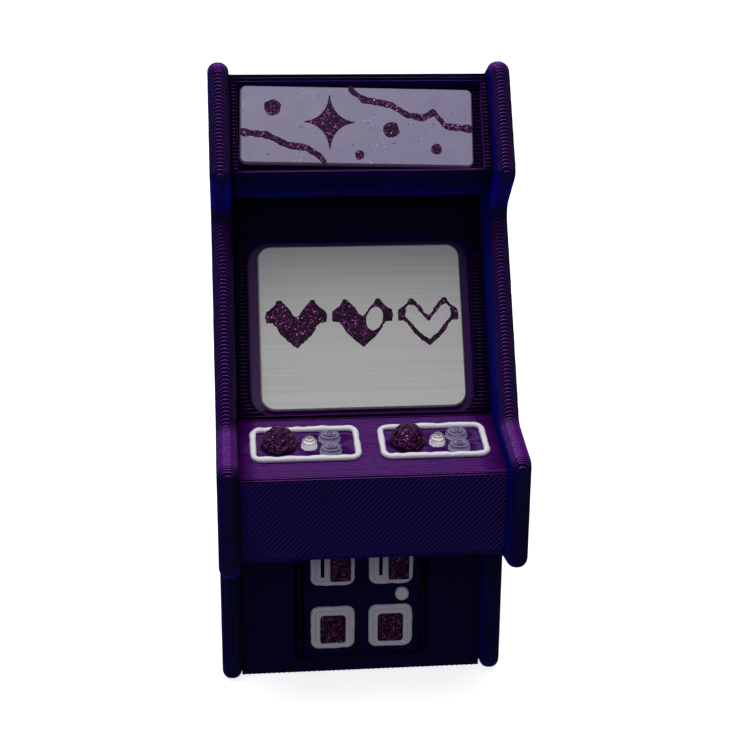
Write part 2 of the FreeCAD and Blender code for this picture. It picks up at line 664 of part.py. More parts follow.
def player_controls(side, step):
    """Everything that one player has: frame, stick, start button and two action buttons."""
    shift = f"(player_pitch * {step})"
    left = f"(frame_left + {shift})"
    right = f"({left} + frame_width)"
    rear = "(frame_front + frame_depth)"
    outer = prism("frame outside", DECK, octagon((left, right), ("frame_front", rear), "frame_chamfer"),
                  ("0", "frame_rise"))
    within = octagon((f"({left} + frame_bar)", f"({right} - frame_bar)"),
                     ("(frame_front + frame_bar)", f"({rear} - frame_bar)"),
                     "(frame_chamfer - (2 - sqrt(2)) * frame_bar)")
    inner = prism("frame inside", DECK, within, ("0", "frame_rise"))
    node(side + "_control_frame", cut("frame", outer, inner))

    stick_at = f"(stick_x + {shift})"
    start_at = f"(start_x + {shift})"
    action_at = f"(action_x + {shift})"
    rows = (("front", "action_front"), ("rear", "action_front + action_pitch"))
    stick(side, stick_at)
    tray(side, shift, stick_at)
    button(side + "_start_button", round_button, start_at, "stick_s", "start_rise",
           "start_rounding")
    for row, s in rows:
        button(f"{side}_{row}_action_button", oval_button, action_at, s, "action_rise",
               "action_rounding")

    through = ("-2 * panel_thick", "panel_thick")
    holes = [peg("stick hole", DECK, stick_at, "stick_s", through, "shaft_hole"),
             round_button("start hole", start_at, "stick_s", through, "running_gap")]
    holes += [oval_button("action hole", action_at, s, through, "running_gap") for row, s in rows]
    return holes


def control_deck(holes):
    """The sloping board that the controls sit in, with a rounded front edge."""
    board = block("deck board", DECK, BETWEEN_SIDES, ("-panel_thick", "deck_depth + deck_tuck"),
                  ("-panel_thick", "0"))
    before_apron = block("trim", FLOOR, ("-reach", "reach"), ("-reach", "deck_y"), ("0", "reach"))
    deck = cut("deck with holes", board, before_apron, *holes)
    front = value("deck_y")
    height = value("deck_z")

    def nosing(edge):
        middle = edge.CenterOfMass
        return abs(middle.y - front) < 1e-3 and abs(middle.z - height) < 1e-3

    return node("control_deck", soften("deck", deck, "deck_round", nosing))


deck_holes = player_controls("left", 0) + player_controls("right", 1)
control_deck(deck_holes)


# ---------------------------------------------------------------- coin door

def coin_side(side, step):
    """One coin column: slot bezel, reject button, return bezel and flap. Returns the door's cuts."""
    left = f"(coin_left + coin_pitch * {step})"
    right = f"({left} + bezel_width)"
    through = ("-2 * door_thick", "2 * bezel_rise")
    slot_x = (f"{left} + slot_offset - slot_wide / 2", f"{left} + slot_offset + slot_wide / 2")
    slot_s = ("slot_bezel_bottom + slot_lift", "slot_bezel_bottom + slot_lift + slot_long")
    slot = block("coin slot", KICK, slot_x, slot_s, through)

    def window(label, offset, width, bottom, lift, height, gap, h, corner=None):
        x = (f"{left} + {offset} - {gap}", f"{left} + {offset} + {width} + {gap}")
        s = (f"{bottom} + {lift} - {gap}", f"{bottom} + {lift} + {height} + {gap}")
        return prism(label, KICK, rectangle(x, s), h, corner)

    def bezel(name, bottom, *cuts):
        s = (bottom, f"({bottom} + bezel_height)")
        plate = prism(name + " plate", KICK, rectangle((left, right), s), ("0", "bezel_rise"),
                      "bezel_round")
        dish_x = (f"({left} + bezel_rim)", f"({right} - bezel_rim)")
        dish_s = (f"({bottom} + bezel_rim)", f"({s[1]} - bezel_rim)")
        dish = prism(name + " dish", KICK, rectangle(dish_x, dish_s),
                     ("bezel_rise - bezel_dish", "2 * bezel_rise"), "bezel_round - bezel_rim / 2")
        node(name, cut(name, plate, dish, *cuts))

    reject = ("reject_offset", "reject_width", "slot_bezel_bottom", "reject_lift", "reject_height")
    reject_hole = window("reject hole", *reject, "running_gap", through)
    bezel(side + "_coin_slot_bezel", "slot_bezel_bottom", slot, reject_hole)
    plunger = window("reject plunger", *reject, "0",
                     ("-door_thick - running_gap", "bezel_rise - bezel_dish + reject_rise"))
    collar = window("reject collar", *reject, "button_flange",
                    ("-door_thick - running_gap - flange_thick", "-door_thick - running_gap"))
    node(side + "_reject_button", fuse("reject", plunger, collar))

    flap = ("flap_offset", "flap_width", "return_bezel_bottom", "flap_lift", "flap_height")
    flap_hole = window("flap hole", *flap, "seat_gap", through, "flap_round")
    bezel(side + "_return_bezel", "return_bezel_bottom", flap_hole)
    flap_top = "return_bezel_bottom + flap_lift + flap_height"
    leaf = window("flap leaf", *flap, "0", ("flap_rise - flap_thick", "flap_rise"), "flap_round")
    pin_start = (f"{left} + flap_offset - flap_pin_long", f"{flap_top} - flap_pin_drop",
                 "flap_rise - flap_thick")
    pin_length = "flap_width + 2 * flap_pin_long"
    pin = round_bar("flap pin", KICK, pin_start, pin_length, "flap_pin", TURN_TO_X)
    node(side + "_return_flap", fuse("flap", leaf, pin))
    pin_seat = round_bar("flap pin seat", KICK, pin_start, pin_length, "flap_pin + running_gap",
                         TURN_TO_X)
    return [slot, reject_hole, flap_hole, pin_seat]


def coin_door(cuts):
    """The door leaf, with two knuckles on its left edge that turn on the hinge pin."""
    leaf = prism("door leaf", KICK, rectangle(("-door_half", "door_half"), ("door_bottom", "door_top")),
                 ("-door_thick", "0"))
    pieces = [leaf]
    for low in ("door_bottom + knuckle_inset", "door_top - knuckle_inset - knuckle_length"):
        span = (low, f"{low} + knuckle_length")
        pieces.append(peg("knuckle", FLOOR, "hinge_x", "hinge_y", span, "knuckle_radius"))
        pieces.append(block("knuckle arm", KICK, ("hinge_x", "-door_half"), span,
                            ("-hinge_deep - knuckle_radius", "-hinge_deep + knuckle_radius / 2")))
    bore = peg("hinge bore", FLOOR, "hinge_x", "hinge_y", ("0", "gate_top"), "hinge_radius + running_gap")
    lock_bore = peg("lock bore", KICK, "lock_x", "lock_height", ("-2 * door_thick", "door_thick"),
                    "lock_shaft + running_gap")
    node("coin_door", cut("door", fuse("door and knuckles", *pieces), bore, lock_bore, *cuts))


def door_lock():
    """A round knob in front of the door, its shaft through it, and the cam that catches the stop."""
    knob = peg("lock head", KICK, "lock_x", "lock_height", ("running_gap", "lock_rise"), "lock_radius")
    shaft = peg("lock shaft", KICK, "lock_x", "lock_height", ("-cam_deep", "lock_rise / 2"), "lock_shaft")
    whole = fuse("knob and shaft", knob, shaft)
    front = value("kick_y - lock_rise")
    node("lock_knob", soften("lock", whole, "lock_rise * 0.5",
                             lambda edge: abs(edge.CenterOfMass.y - front) < 1e-3))
    node("lock_cam", block("cam", KICK, ("lock_x - cam_half", "lock_x + cam_half"),
                           ("lock_height - cam_half", "lock_height + cam_long"),
                           ("-cam_deep - cam_thick", "-cam_deep")))


def kick_panel():
    """The board behind the knees, with the doorway, and the stop frame glued behind it."""
    board = block("kick board", KICK, BETWEEN_SIDES, ("0", "apron_bottom"), ("-kick_thick", "0"))
    gate = block("doorway", KICK, ("-gate_half", "gate_half"), ("gate_bottom", "gate_top"),
                 ("-2 * kick_thick", "kick_thick"))
    pin_span = ("gate_bottom - hinge_bite", "gate_top + hinge_bite")
    pin = node("door_hinge_pin", peg("pin", FLOOR, "hinge_x", "hinge_y", pin_span, "hinge_radius"))
    node("kick_panel", cut("kick", board, gate, pin))
    stop = block("stop board", KICK, ("-gate_half - stop_margin", "gate_half + stop_margin"),
                 ("base_thick", "gate_top + stop_margin"), ("-kick_thick - stop_thick", "-kick_thick"))
    stop_gate = block("stop opening", KICK, ("-door_half + stop_lap", "door_half - stop_lap"),
                      ("door_bottom + stop_lap", "door_top - stop_lap"), ("-4 * kick_thick", "0"))
    node("door_frame", cut("stop", stop, stop_gate))


door_cuts = coin_side("left", 0) + coin_side("right", 1)
coin_door(door_cuts)
door_lock()
kick_panel()


# ---------------------------------------------------------------- check and write

def check():
    """Stop if any object failed to build, or any sub-part isn't a valid solid."""
    doc.recompute()
    for item in doc.Objects:
        if "Invalid" in item.State or "Error" in item.State:
            raise RuntimeError(f"{item.Label} failed: {item.State}")
    for item in nodes:
        if item.Shape.isNull() or not item.Shape.isValid() or not item.Shape.Solids:
            raise RuntimeError(f"{item.Label} has no valid solid")


check()
os.makedirs("parts", exist_ok=True)
for item in nodes:
    item.Shape.exportStep(f"parts/{item.Label}.step")
print(len(nodes), "sub-parts written")
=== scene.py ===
# %% [markdown]
# # A toy-size arcade cabinet, dressed as the 3-D print that it is
#
# The frame that this script loads is a finished design: panels, controls and a coin door, each
# with its real size and place. What it lacks is the look of the real toy, which a filament
# printer made lying on its back in layers of 0.2 mm. So most of this lesson is about one idea:
# to get the surface of a print, slice the shape as a printer does and stack the slices again.

# %%
import json
import math
import random

import bmesh
import bpy
import numpy as np
from mathutils import Matrix, Vector, noise
from mathutils.geometry import tessellate_polygon


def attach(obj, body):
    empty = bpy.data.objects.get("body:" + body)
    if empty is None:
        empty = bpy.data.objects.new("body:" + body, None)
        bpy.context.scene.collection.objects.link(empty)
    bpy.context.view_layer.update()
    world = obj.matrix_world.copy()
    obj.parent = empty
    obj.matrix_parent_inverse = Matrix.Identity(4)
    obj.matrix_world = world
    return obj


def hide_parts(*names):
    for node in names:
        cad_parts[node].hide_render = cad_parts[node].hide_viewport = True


MM = 0.001
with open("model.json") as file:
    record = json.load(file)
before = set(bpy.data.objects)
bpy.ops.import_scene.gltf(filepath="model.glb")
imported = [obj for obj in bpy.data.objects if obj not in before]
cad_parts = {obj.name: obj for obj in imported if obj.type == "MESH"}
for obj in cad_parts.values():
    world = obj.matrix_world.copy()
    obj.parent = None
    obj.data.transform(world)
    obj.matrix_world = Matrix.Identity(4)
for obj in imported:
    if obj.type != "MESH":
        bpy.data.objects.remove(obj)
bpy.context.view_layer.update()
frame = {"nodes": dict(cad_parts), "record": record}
nodes = frame["nodes"]
home = {node: body for body, held in frame["record"]["behaviour"]["bodies"].items() for node in held}

# %% [markdown]
# ## Camera
#
# A long lens from a little above, turned a few degrees, as one looks at a toy on a table.
# The view's three angles turn a camera that looks along -Z with +Y up.

# %%
CAMERA_PLACE = Vector((-15.0, -155.6, 88.1)) * MM
CAMERA_YAW, CAMERA_PITCH, CAMERA_ROLL = 5.80, 17.94, 0.42
CAMERA_LENS = 71.07

yaw, pitch, roll = (math.radians(angle) for angle in (CAMERA_YAW, CAMERA_PITCH, CAMERA_ROLL))
forward = Vector((math.sin(yaw) * math.cos(pitch), math.cos(yaw) * math.cos(pitch), -math.sin(pitch)))
level = Vector((math.cos(yaw), -math.sin(yaw), 0))
upward = level.cross(forward)
right = level * math.cos(roll) + upward * math.sin(roll)
up = upward * math.cos(roll) - level * math.sin(roll)

camera = bpy.data.objects.new("camera", bpy.data.cameras.new("camera"))
camera.data.lens = CAMERA_LENS
camera.data.sensor_width = 36
camera.data.clip_start = 0.005
camera.matrix_world = Matrix((right, up, -forward)).transposed().to_4x4()
camera.location = CAMERA_PLACE
bpy.context.scene.collection.objects.link(camera)
bpy.context.scene.camera = camera
print("camera at", [round(v, 4) for v in camera.location])

# %% [markdown]
# ## Studio
#
# The toy stands on lit white paper under one soft light, with a weak one in front. The main light
# is nearly overhead, because on the real toy the upward faces are bright purple while the upright
# fronts stay almost black. The weak one picks out the strands on those fronts. The
# paper glows a little less than white, so the light's own share still shows a faint shadow.

# %%
FLOOR_SIZE = 14.0
KEY_LIGHT = {"place": (-0.03, -0.05, 0.42), "size": 0.3, "watts": 1.10}
FRONT_LIGHT = {"place": (-0.08, -0.36, 0.24), "size": 0.1, "watts": 0.17}
SKY = (0.92, 0.96, 1.0)
SKY_STRENGTH = 0.15
PAPER_GLOW = 0.78


def soft_light(name, place, size, watts):
    """A square light that faces the toy's middle."""
    lamp = bpy.data.lights.new(name, "AREA")
    lamp.size = size
    lamp.energy = watts
    holder = bpy.data.objects.new(name, lamp)
    holder.location = place
    aim = Vector((0, 0, 0.035)) - holder.location
    holder.rotation_euler = aim.to_track_quat("-Z", "Y").to_euler()
    bpy.context.scene.collection.objects.link(holder)


soft_light("key light", **KEY_LIGHT)
soft_light("front light", **FRONT_LIGHT)

world = bpy.data.worlds.new("studio")
world.use_nodes = True
world.node_tree.nodes["Background"].inputs["Color"].default_value = (*SKY, 1)
world.node_tree.nodes["Background"].inputs["Strength"].default_value = SKY_STRENGTH
bpy.context.scene.world = world
bpy.context.scene.view_settings.view_transform = "Standard"

# %% [markdown]
# ## Writing materials as arithmetic
#
# A material's node tree is easier to read as sums. `Value` wraps the output of a node, and its
# operators add Math nodes, so `1 - mask * 0.5` builds two nodes and joins them up. Everything
# that isn't arithmetic goes through `Finish.add`, which sets a node up and feeds its sockets.


# %%
class Value:
    """An output of a finish's nodes that can be used in sums."""

    def __init__(self, finish, socket):
        self.finish = finish
        self.socket = socket

    def maths(self, operation, first, second=0.0):
        return self.finish.add("ShaderNodeMath", operation=operation, inputs={0: first, 1: second})

    def __add__(self, other):
        return self.maths("ADD", self, other)

    def __sub__(self, other):
        return self.maths("SUBTRACT", self, other)

    def __mul__(self, other):
        return self.maths("MULTIPLY", self, other)

    def __rsub__(self, other):
        return self.maths("SUBTRACT", other, self)

    def __abs__(self):
        return self.maths("ABSOLUTE", self)

    def ramp(self, low, high):
        """0 below low, 1 above high, and smooth between; low may be the larger."""
        return self.finish.add("ShaderNodeMapRange", interpolation_type="SMOOTHSTEP",
                               inputs={"Value": self, "From Min": low, "From Max": high})


class Finish:
    """A material under construction."""

    def __init__(self, name, **fixed):
        self.material = bpy.data.materials.new(name)
        self.material.use_nodes = True
        self.tree = self.material.node_tree
        self.surface = self.tree.nodes["Principled BSDF"]
        for socket, number in fixed.items():
            self.surface.inputs[socket.replace("_", " ")].default_value = number

    def add(self, kind, output=0, inputs=None, **settings):
        """A new node, set up and fed; gives back one of its outputs."""
        node = self.tree.nodes.new(kind)
        for name, setting in settings.items():
            setattr(node, name, setting)
        for key, wanted in (inputs or {}).items():
            self.feed(node.inputs[key], wanted)
        return Value(self, node.outputs[output])

    def feed(self, socket, wanted):
        if isinstance(wanted, Value):
            self.tree.links.new(wanted.socket, socket)
        else:
            socket.default_value = wanted

    def set(self, socket, wanted):
        self.feed(self.surface.inputs[socket], wanted)

    def place(self, scale=(1, 1, 1)):
        """Object coordinates, stretched by scale."""
        return self.add("ShaderNodeMapping", inputs={
            "Vector": self.add("ShaderNodeTexCoord", "Object"), "Scale": scale})

    def facing(self):
        """The surface's own direction as three numbers: x, y and z."""
        normal = self.add("ShaderNodeTexCoord", "Normal")
        parts = self.add("ShaderNodeSeparateXYZ", inputs={0: normal})
        return [Value(self, parts.socket.node.outputs[k]) for k in range(3)]

    def grain(self, size, scale=(1, 1, 1), detail=2.0, rough=0.5):
        """Soft noise with features of about size metres."""
        return self.add("ShaderNodeTexNoise", inputs={
            "Vector": self.place(scale), "Scale": 1 / size, "Detail": detail, "Roughness": rough})

    def mix(self, share, first, second):
        """The first colour where share is 0, the second where it is 1."""
        first, second = ((*c, 1) if isinstance(c, tuple) else c for c in (first, second))
        return self.add("ShaderNodeMix", 2, data_type="RGBA", inputs={0: share, 6: first, 7: second})

    def relief(self, height, depth):
        """Bump of this depth in metres, where height runs from 0 to 1."""
        self.set("Normal", self.add("ShaderNodeBump", inputs={
            "Strength": 1.0, "Distance": depth, "Height": height}))


print("shader arithmetic ready")

# %% [markdown]
# ## Two-tone silk filament
#
# The body is printed in a silky filament whose strand is purple on one side and blue on the
# other. It always leaves the nozzle the same way round, so the colour that shows depends on which
# way a wall faces: purple looking up, blue looking down or left, and a dark plum between. The
# surface's own normal picks the colour, and a noise that is squeezed along the layers varies it.
# Each panel also gets a tone of its own, which is painted light and shade. A tone below 1 darkens a
# panel, chiefly the ones that lie deep between the sides or under the deck; a tone above 1 brightens the
# side and back panels.

# %%
PURPLE = (0.082, 0.003, 0.165)
BLUE = (0.002, 0.002, 0.170)
# Downward faces: the strand's blue side, made far brighter as painted bounce light from the paper below,
# which casts no light on the toy.
BLUE_WITH_PAINTED_BOUNCE = (0.001, 0.002, 0.750)
PLUM = (0.006, 0.003, 0.018)
NAVY = (0.0060, 0.0040, 0.034)
# Painted light and shade for each panel: below 1 darkens the panel, above 1 brightens it.
PANEL_PAINTED_LIGHT_AND_SHADE = {
    "left_side_panel": 1.35, "right_side_panel": 1.35, "apron_panel": 1.0, "control_deck": 1.0,
    "screen_bezel": 0.42, "marquee_housing": 0.55, "brow_panel": 1.0, "top_panel": 0.6,
    "back_panel": 1.35, "kick_panel": 0.42, "coin_door": 0.42,
}


def silk(tone):
    """The body's finish in one tone, made once. A tone below 1 paints shade onto a panel, and one above 1
    paints light.
    """
    name = f"two tone silk, painted light and shade {tone}"
    if name in bpy.data.materials:
        return bpy.data.materials[name]
    finish = Finish(name, Metallic=0.1, Specular_IOR_Level=0.05, Coat_Roughness=0.22)
    across, depth, rise = finish.facing()
    colour = finish.mix((across * -1).ramp(0.45, 0.98), PLUM, BLUE)
    colour = finish.mix((depth * -1).ramp(0.6, 0.98), colour, NAVY)
    # faces that look down take the brighter blue of painted bounce light
    colour = finish.mix((rise * -1).ramp(0.08, 0.45), colour, BLUE_WITH_PAINTED_BOUNCE)
    colour = finish.mix(rise.ramp(0.12, 0.85), colour, PURPLE)
    strands = finish.grain(9 * MM, (1, 34, 1), detail=3.0)
    # tone brightens or darkens the colour: painted light and shade for the panel
    finish.set("Base Color", finish.add("ShaderNodeHueSaturation", inputs={
        "Color": colour, "Value": (strands * 0.8 + 0.6) * tone}))
    finish.set("Roughness", finish.grain(0.6 * MM) * 0.25 + 0.30)
    finish.set("Coat Weight", rise.ramp(0.02, 0.5) * (1 - rise.ramp(0.62, 0.90)) * (0.65 * tone))
    finish.relief(finish.grain(0.08 * MM, detail=1.0), 0.006 * MM)
    return finish.material


SILK = silk(1.0)

# %% [markdown]
# ## Glitter filament
#
# The joystick balls and the inlays are a nearly black plum, full of metal flakes. Each flake is
# one cell of a Voronoi pattern; only the cells with a high random number shine. Between them run
# thin bright lines of painted highlight along the strands of the printed path, which is where a soft noise
# crosses its middle.

# %%
def glitter():
    finish = Finish("glitter plum", Specular_IOR_Level=0.12)
    cells = finish.add("ShaderNodeTexVoronoi", "Color", inputs={"Vector": finish.place(), "Scale": 6500.0})
    lucky = finish.add("ShaderNodeSeparateColor", inputs={0: cells}).ramp(0.93, 0.985)
    strands = abs(finish.grain(0.62 * MM, detail=1.5) - 0.5).ramp(0.045, 0.008)
    # real flakes, plus painted highlight along the strands of the path
    flakes_and_painted_highlight = finish.add("ShaderNodeMath", operation="MAXIMUM", inputs={0: lucky, 1: strands * 0.30})
    colour = finish.mix(finish.grain(1.1 * MM), (0.006, 0.0005, 0.008), (0.040, 0.001, 0.040))
    finish.set("Base Color", finish.mix(flakes_and_painted_highlight, colour, (0.62, 0.16, 0.60)))
    finish.set("Metallic", flakes_and_painted_highlight * 0.5 + 0.1)
    finish.set("Roughness", 0.40 - flakes_and_painted_highlight * 0.22)
    finish.relief(strands + finish.grain(0.25 * MM), 0.11 * MM)
    return finish.material


GLITTER = glitter()

# %% [markdown]
# ## Plain filaments
#
# White and lilac strands, and the two insert plates that were printed flat on the bed and so are
# smooth. A strand is painted lighter where it faces up and darker where it faces sideways or down, as
# painted light and shade from the lamp above. The white plate shows faint straight passes of the
# nozzle; the lilac one has small nicks from being pushed into its tray. Two darker tones paint the
# shade in the lines between the rings of a button, and one nearly black tone paints the shade in the
# grooves round an inlay.

# %%
def strand(name, light, shade, roughness=0.42, **fixed):
    """Solid-coloured filament with a slightly uneven tone and painted light: the light colour where it
    faces up, the shade colour where it faces sideways or down.
    """
    finish = Finish(name, Roughness=roughness, **fixed)
    rise = finish.facing()[2]
    # painted light and shade: the light colour on upward faces, the shade colour on the others
    lit = rise.ramp(0.25, 0.95) * 0.75 + finish.grain(1.3 * MM, detail=3.0) * 0.25
    finish.set("Base Color", finish.mix(lit, shade, light))
    finish.relief(finish.grain(0.1 * MM) + finish.grain(0.5 * MM), 0.02 * MM)
    return finish.material


def white_plate():
    finish = Finish("white plate", Roughness=0.4)
    passes = finish.grain(14 * MM, (0.5, 46, 46), detail=2.0)
    clouds = finish.grain(7 * MM)
    tone = finish.mix(passes.ramp(0.3, 0.7), (0.62, 0.61, 0.60), (0.70, 0.69, 0.68))
    finish.set("Base Color", finish.mix(clouds * 0.5, tone, (0.66, 0.65, 0.65)))
    finish.relief(passes, 0.006 * MM)
    return finish.material


def lilac_plate():
    finish = Finish("lilac plate", Roughness=0.34)
    clouds = finish.grain(2.2 * MM, detail=4.0, rough=0.6)
    nicks = finish.grain(0.55 * MM, (1.0, 1.0, 2.2), detail=0.0).ramp(0.80, 0.85)
    tone = finish.mix(clouds, (0.25, 0.21, 0.35), (0.33, 0.29, 0.45))
    scuffs = finish.grain(0.22 * MM, detail=0.0).ramp(0.74, 0.80) * finish.grain(3 * MM).ramp(0.5, 0.62)
    tone = finish.mix(scuffs * 0.8, tone, (0.72, 0.70, 0.80))
    finish.set("Base Color", finish.mix(nicks * 0.8, tone, (0.10, 0.08, 0.20)))
    finish.relief(clouds * 0.4 - nicks, 0.02 * MM)
    return finish.material


WHITE = strand("white strand", (0.94, 0.90, 0.96), (0.68, 0.64, 0.72))
LILAC = strand("lilac strand", (0.33, 0.27, 0.49), (0.10, 0.08, 0.19))
# Painted shade for the lines between a button's rings.
WHITE_RING_SHADE = strand("painted ring shade, white", (0.36, 0.34, 0.39), (0.22, 0.20, 0.25), 0.6)
LILAC_RING_SHADE = strand("painted ring shade, lilac", (0.22, 0.185, 0.34), (0.10, 0.08, 0.18), 0.6)
RUBBER = strand("grey rubber", (0.06, 0.06, 0.065), (0.045, 0.045, 0.05), 0.7)
WHITE_PLATE = white_plate()
LILAC_PLATE = lilac_plate()
# Painted shade for the gaps round the inlays.
GROOVE_SHADE = strand("painted groove shade", (0.004, 0.001, 0.006), (0.003, 0.001, 0.004), 0.8)
STEEL = strand("hinge wire", (0.025, 0.02, 0.03), (0.02, 0.015, 0.025), 0.5, Metallic=1.0)

FINISH_OF_SLOT = {
    "two_tone_body": SILK, "glitter_purple": GLITTER, "white_plate": WHITE_PLATE,
    "white_bead": WHITE, "lilac_plate": LILAC_PLATE, "lilac_button": LILAC,
    "rubber_pad": RUBBER, "steel_pin": STEEL,
}
slot_of = {row["node"]: row["material_slot"] for row in frame["record"]["subparts"]}
for name, item in nodes.items():
    item.data.materials.clear()
    item.data.materials.append(FINISH_OF_SLOT[slot_of[name]])
print(len(FINISH_OF_SLOT), "finishes")

# %% [markdown]
# ## A small slicer
#
# A printer's software cuts a shape with parallel planes and traces each cut's outline. Here the
# toy lay on its back, so the planes stand upright and follow each other from front to back. Where
# a plane crosses a triangle it makes one short edge; neighbouring triangles share a mesh edge, so
# the short edges chain up into closed outlines. The solid lies to the left of its outline.

# %%
LAYER = 0.2 * MM
PLANE_NUDGE = 1.3e-7        # keeps a plane off the mesh's own corners
SHORTEST_STEP = 0.02 * MM
LONGEST_STEP = 3.0 * MM
STRAIGHT = 1e-3             # the sine of the smallest turn that counts as a corner


def shape_of(item):
    """An object's corners and triangles, with the corners that meet made one."""
    mesh = item.data
    mesh.calc_loop_triangles()
    places = np.array([v.co for v in mesh.vertices], float)
    corners = np.array([t.vertices for t in mesh.loop_triangles], int)
    merged, index = np.unique(np.round(places, 8), axis=0, return_inverse=True)
    corners = index.reshape(-1)[corners]
    distinct = (corners != np.roll(corners, -1, axis=1)).all(axis=1)
    return merged, corners[distinct]


def outlines(shape, y):
    """The closed outlines, as (x, z) points, where an upright plane at y cuts a shape."""
    places, corners = shape
    ahead = places[:, 1] > y
    crossed = corners[ahead[corners].any(axis=1) & ~ahead[corners].all(axis=1)]
    point, follows = {}, {}
    for triangle in crossed:
        ends = []
        for a, b in zip(triangle, np.roll(triangle, -1)):
            if ahead[a] != ahead[b]:
                key = (min(a, b), max(a, b))
                low, high = places[key[0]], places[key[1]]
                share = (y - low[1]) / (high[1] - low[1])
                point[key] = (low + (high - low) * share)[[0, 2]]
                ends.append((ahead[b], key))
        start, end = (key for leaving, key in sorted(ends, reverse=True))
        follows[start] = end
    loops = []
    while follows:
        first, here = follows.popitem()
        chain = [first]
        while here != first and here in follows:
            chain.append(here)
            here = follows.pop(here)
        loops.append([point[key] for key in chain])
    return loops


def area(loop):
    x, z = np.array(loop).T
    return 0.5 * float(np.sum(x * np.roll(z, -1) - z * np.roll(x, -1)))


def evened(loop):
    """Drops points that are too close or in line, and splits long straight sides."""
    kept = []
    for here in loop:
        if not kept or np.linalg.norm(here - kept[-1]) > SHORTEST_STEP:
            kept.append(here)
    if len(kept) > 3 and np.linalg.norm(kept[0] - kept[-1]) < SHORTEST_STEP:
        kept.pop()
    bent = []
    for k, here in enumerate(kept):
        before = here - kept[k - 1]
        after = kept[(k + 1) % len(kept)] - here
        turn = before[0] * after[1] - before[1] * after[0]
        if abs(turn) > STRAIGHT * np.linalg.norm(before) * np.linalg.norm(after):
            bent.append(here)
    spread = []
    for k, here in enumerate(bent):
        after = bent[(k + 1) % len(bent)]
        parts = max(1, math.ceil(np.linalg.norm(after - here) / LONGEST_STEP))
        spread += [here + (after - here) * part / parts for part in range(parts)]
    return spread


print("outlines of the apron's middle:", len(outlines(shape_of(nodes["apron_panel"]), -13.9 * MM)))

# %% [markdown]
# ## Stacking the slices again
#
# Each outline becomes one printed layer: a slab 0.2 mm thick whose rim bulges like a squeezed
# strand, because its two edges are drawn in and its middle isn't. Every layer lies a few microns
# to one side and is a few microns too wide or narrow, as on any print. The rims catch the light
# as the fine arcs that run round the real toy's sloping edges.

# %%
RIM_INSET = 0.052 * MM
RIM = [(-0.5, 1.0), (-0.28, 0.22), (0.0, 0.0), (0.28, 0.22), (0.5, 1.0)]   # along the layer, inwards
LAYER_SHIFT = 0.010 * MM
LAYER_SWELL = 0.012 * MM
WOBBLE_PER_METRE = 700
LARGEST_INSET = 0.3         # of the radius of a disc as large as the island
SMALLEST_ISLAND = 0.012 * MM * MM
SEED_STEP = 0.37            # how far apart neighbouring layers read their noise
STRAND_GRAIN = 0.9 * MM     # from one swelling of a strand to the next


def pushed(loop, distance):
    """The loop with each point moved outwards."""
    points = np.array(loop)
    ahead = np.roll(points, -1, axis=0) - points
    ahead /= np.maximum(np.linalg.norm(ahead, axis=1, keepdims=True), 1e-12)
    outward = np.stack([ahead[:, 1], -ahead[:, 0]], axis=1)
    both = outward + np.roll(outward, 1, axis=0)
    both /= np.maximum(np.linalg.norm(both, axis=1, keepdims=True), 0.6)
    return points + both * np.asarray(distance).reshape(-1, 1)


def islands(loops):
    """Each outer outline with its own holes. Holes run clockwise, outer outlines the other way."""
    outer = [loop for loop in loops if area(loop) > 0]
    groups = [[loop] for loop in sorted(outer, key=lambda loop: abs(area(loop)))]
    for hole in loops:
        if area(hole) < 0:
            home_group = next((group for group in groups if holds(group[0], hole[0])), None)
            if home_group:
                home_group.append(hole)
    return groups


def holds(loop, point):
    """Whether a closed outline goes round a point."""
    within = False
    for (x1, z1), (x2, z2) in zip(loop, np.roll(loop, -1, axis=0)):
        if (z1 > point[1]) != (z2 > point[1]) and point[0] < x1 + (point[1] - z1) * (x2 - x1) / (z2 - z1):
            within = not within
    return within


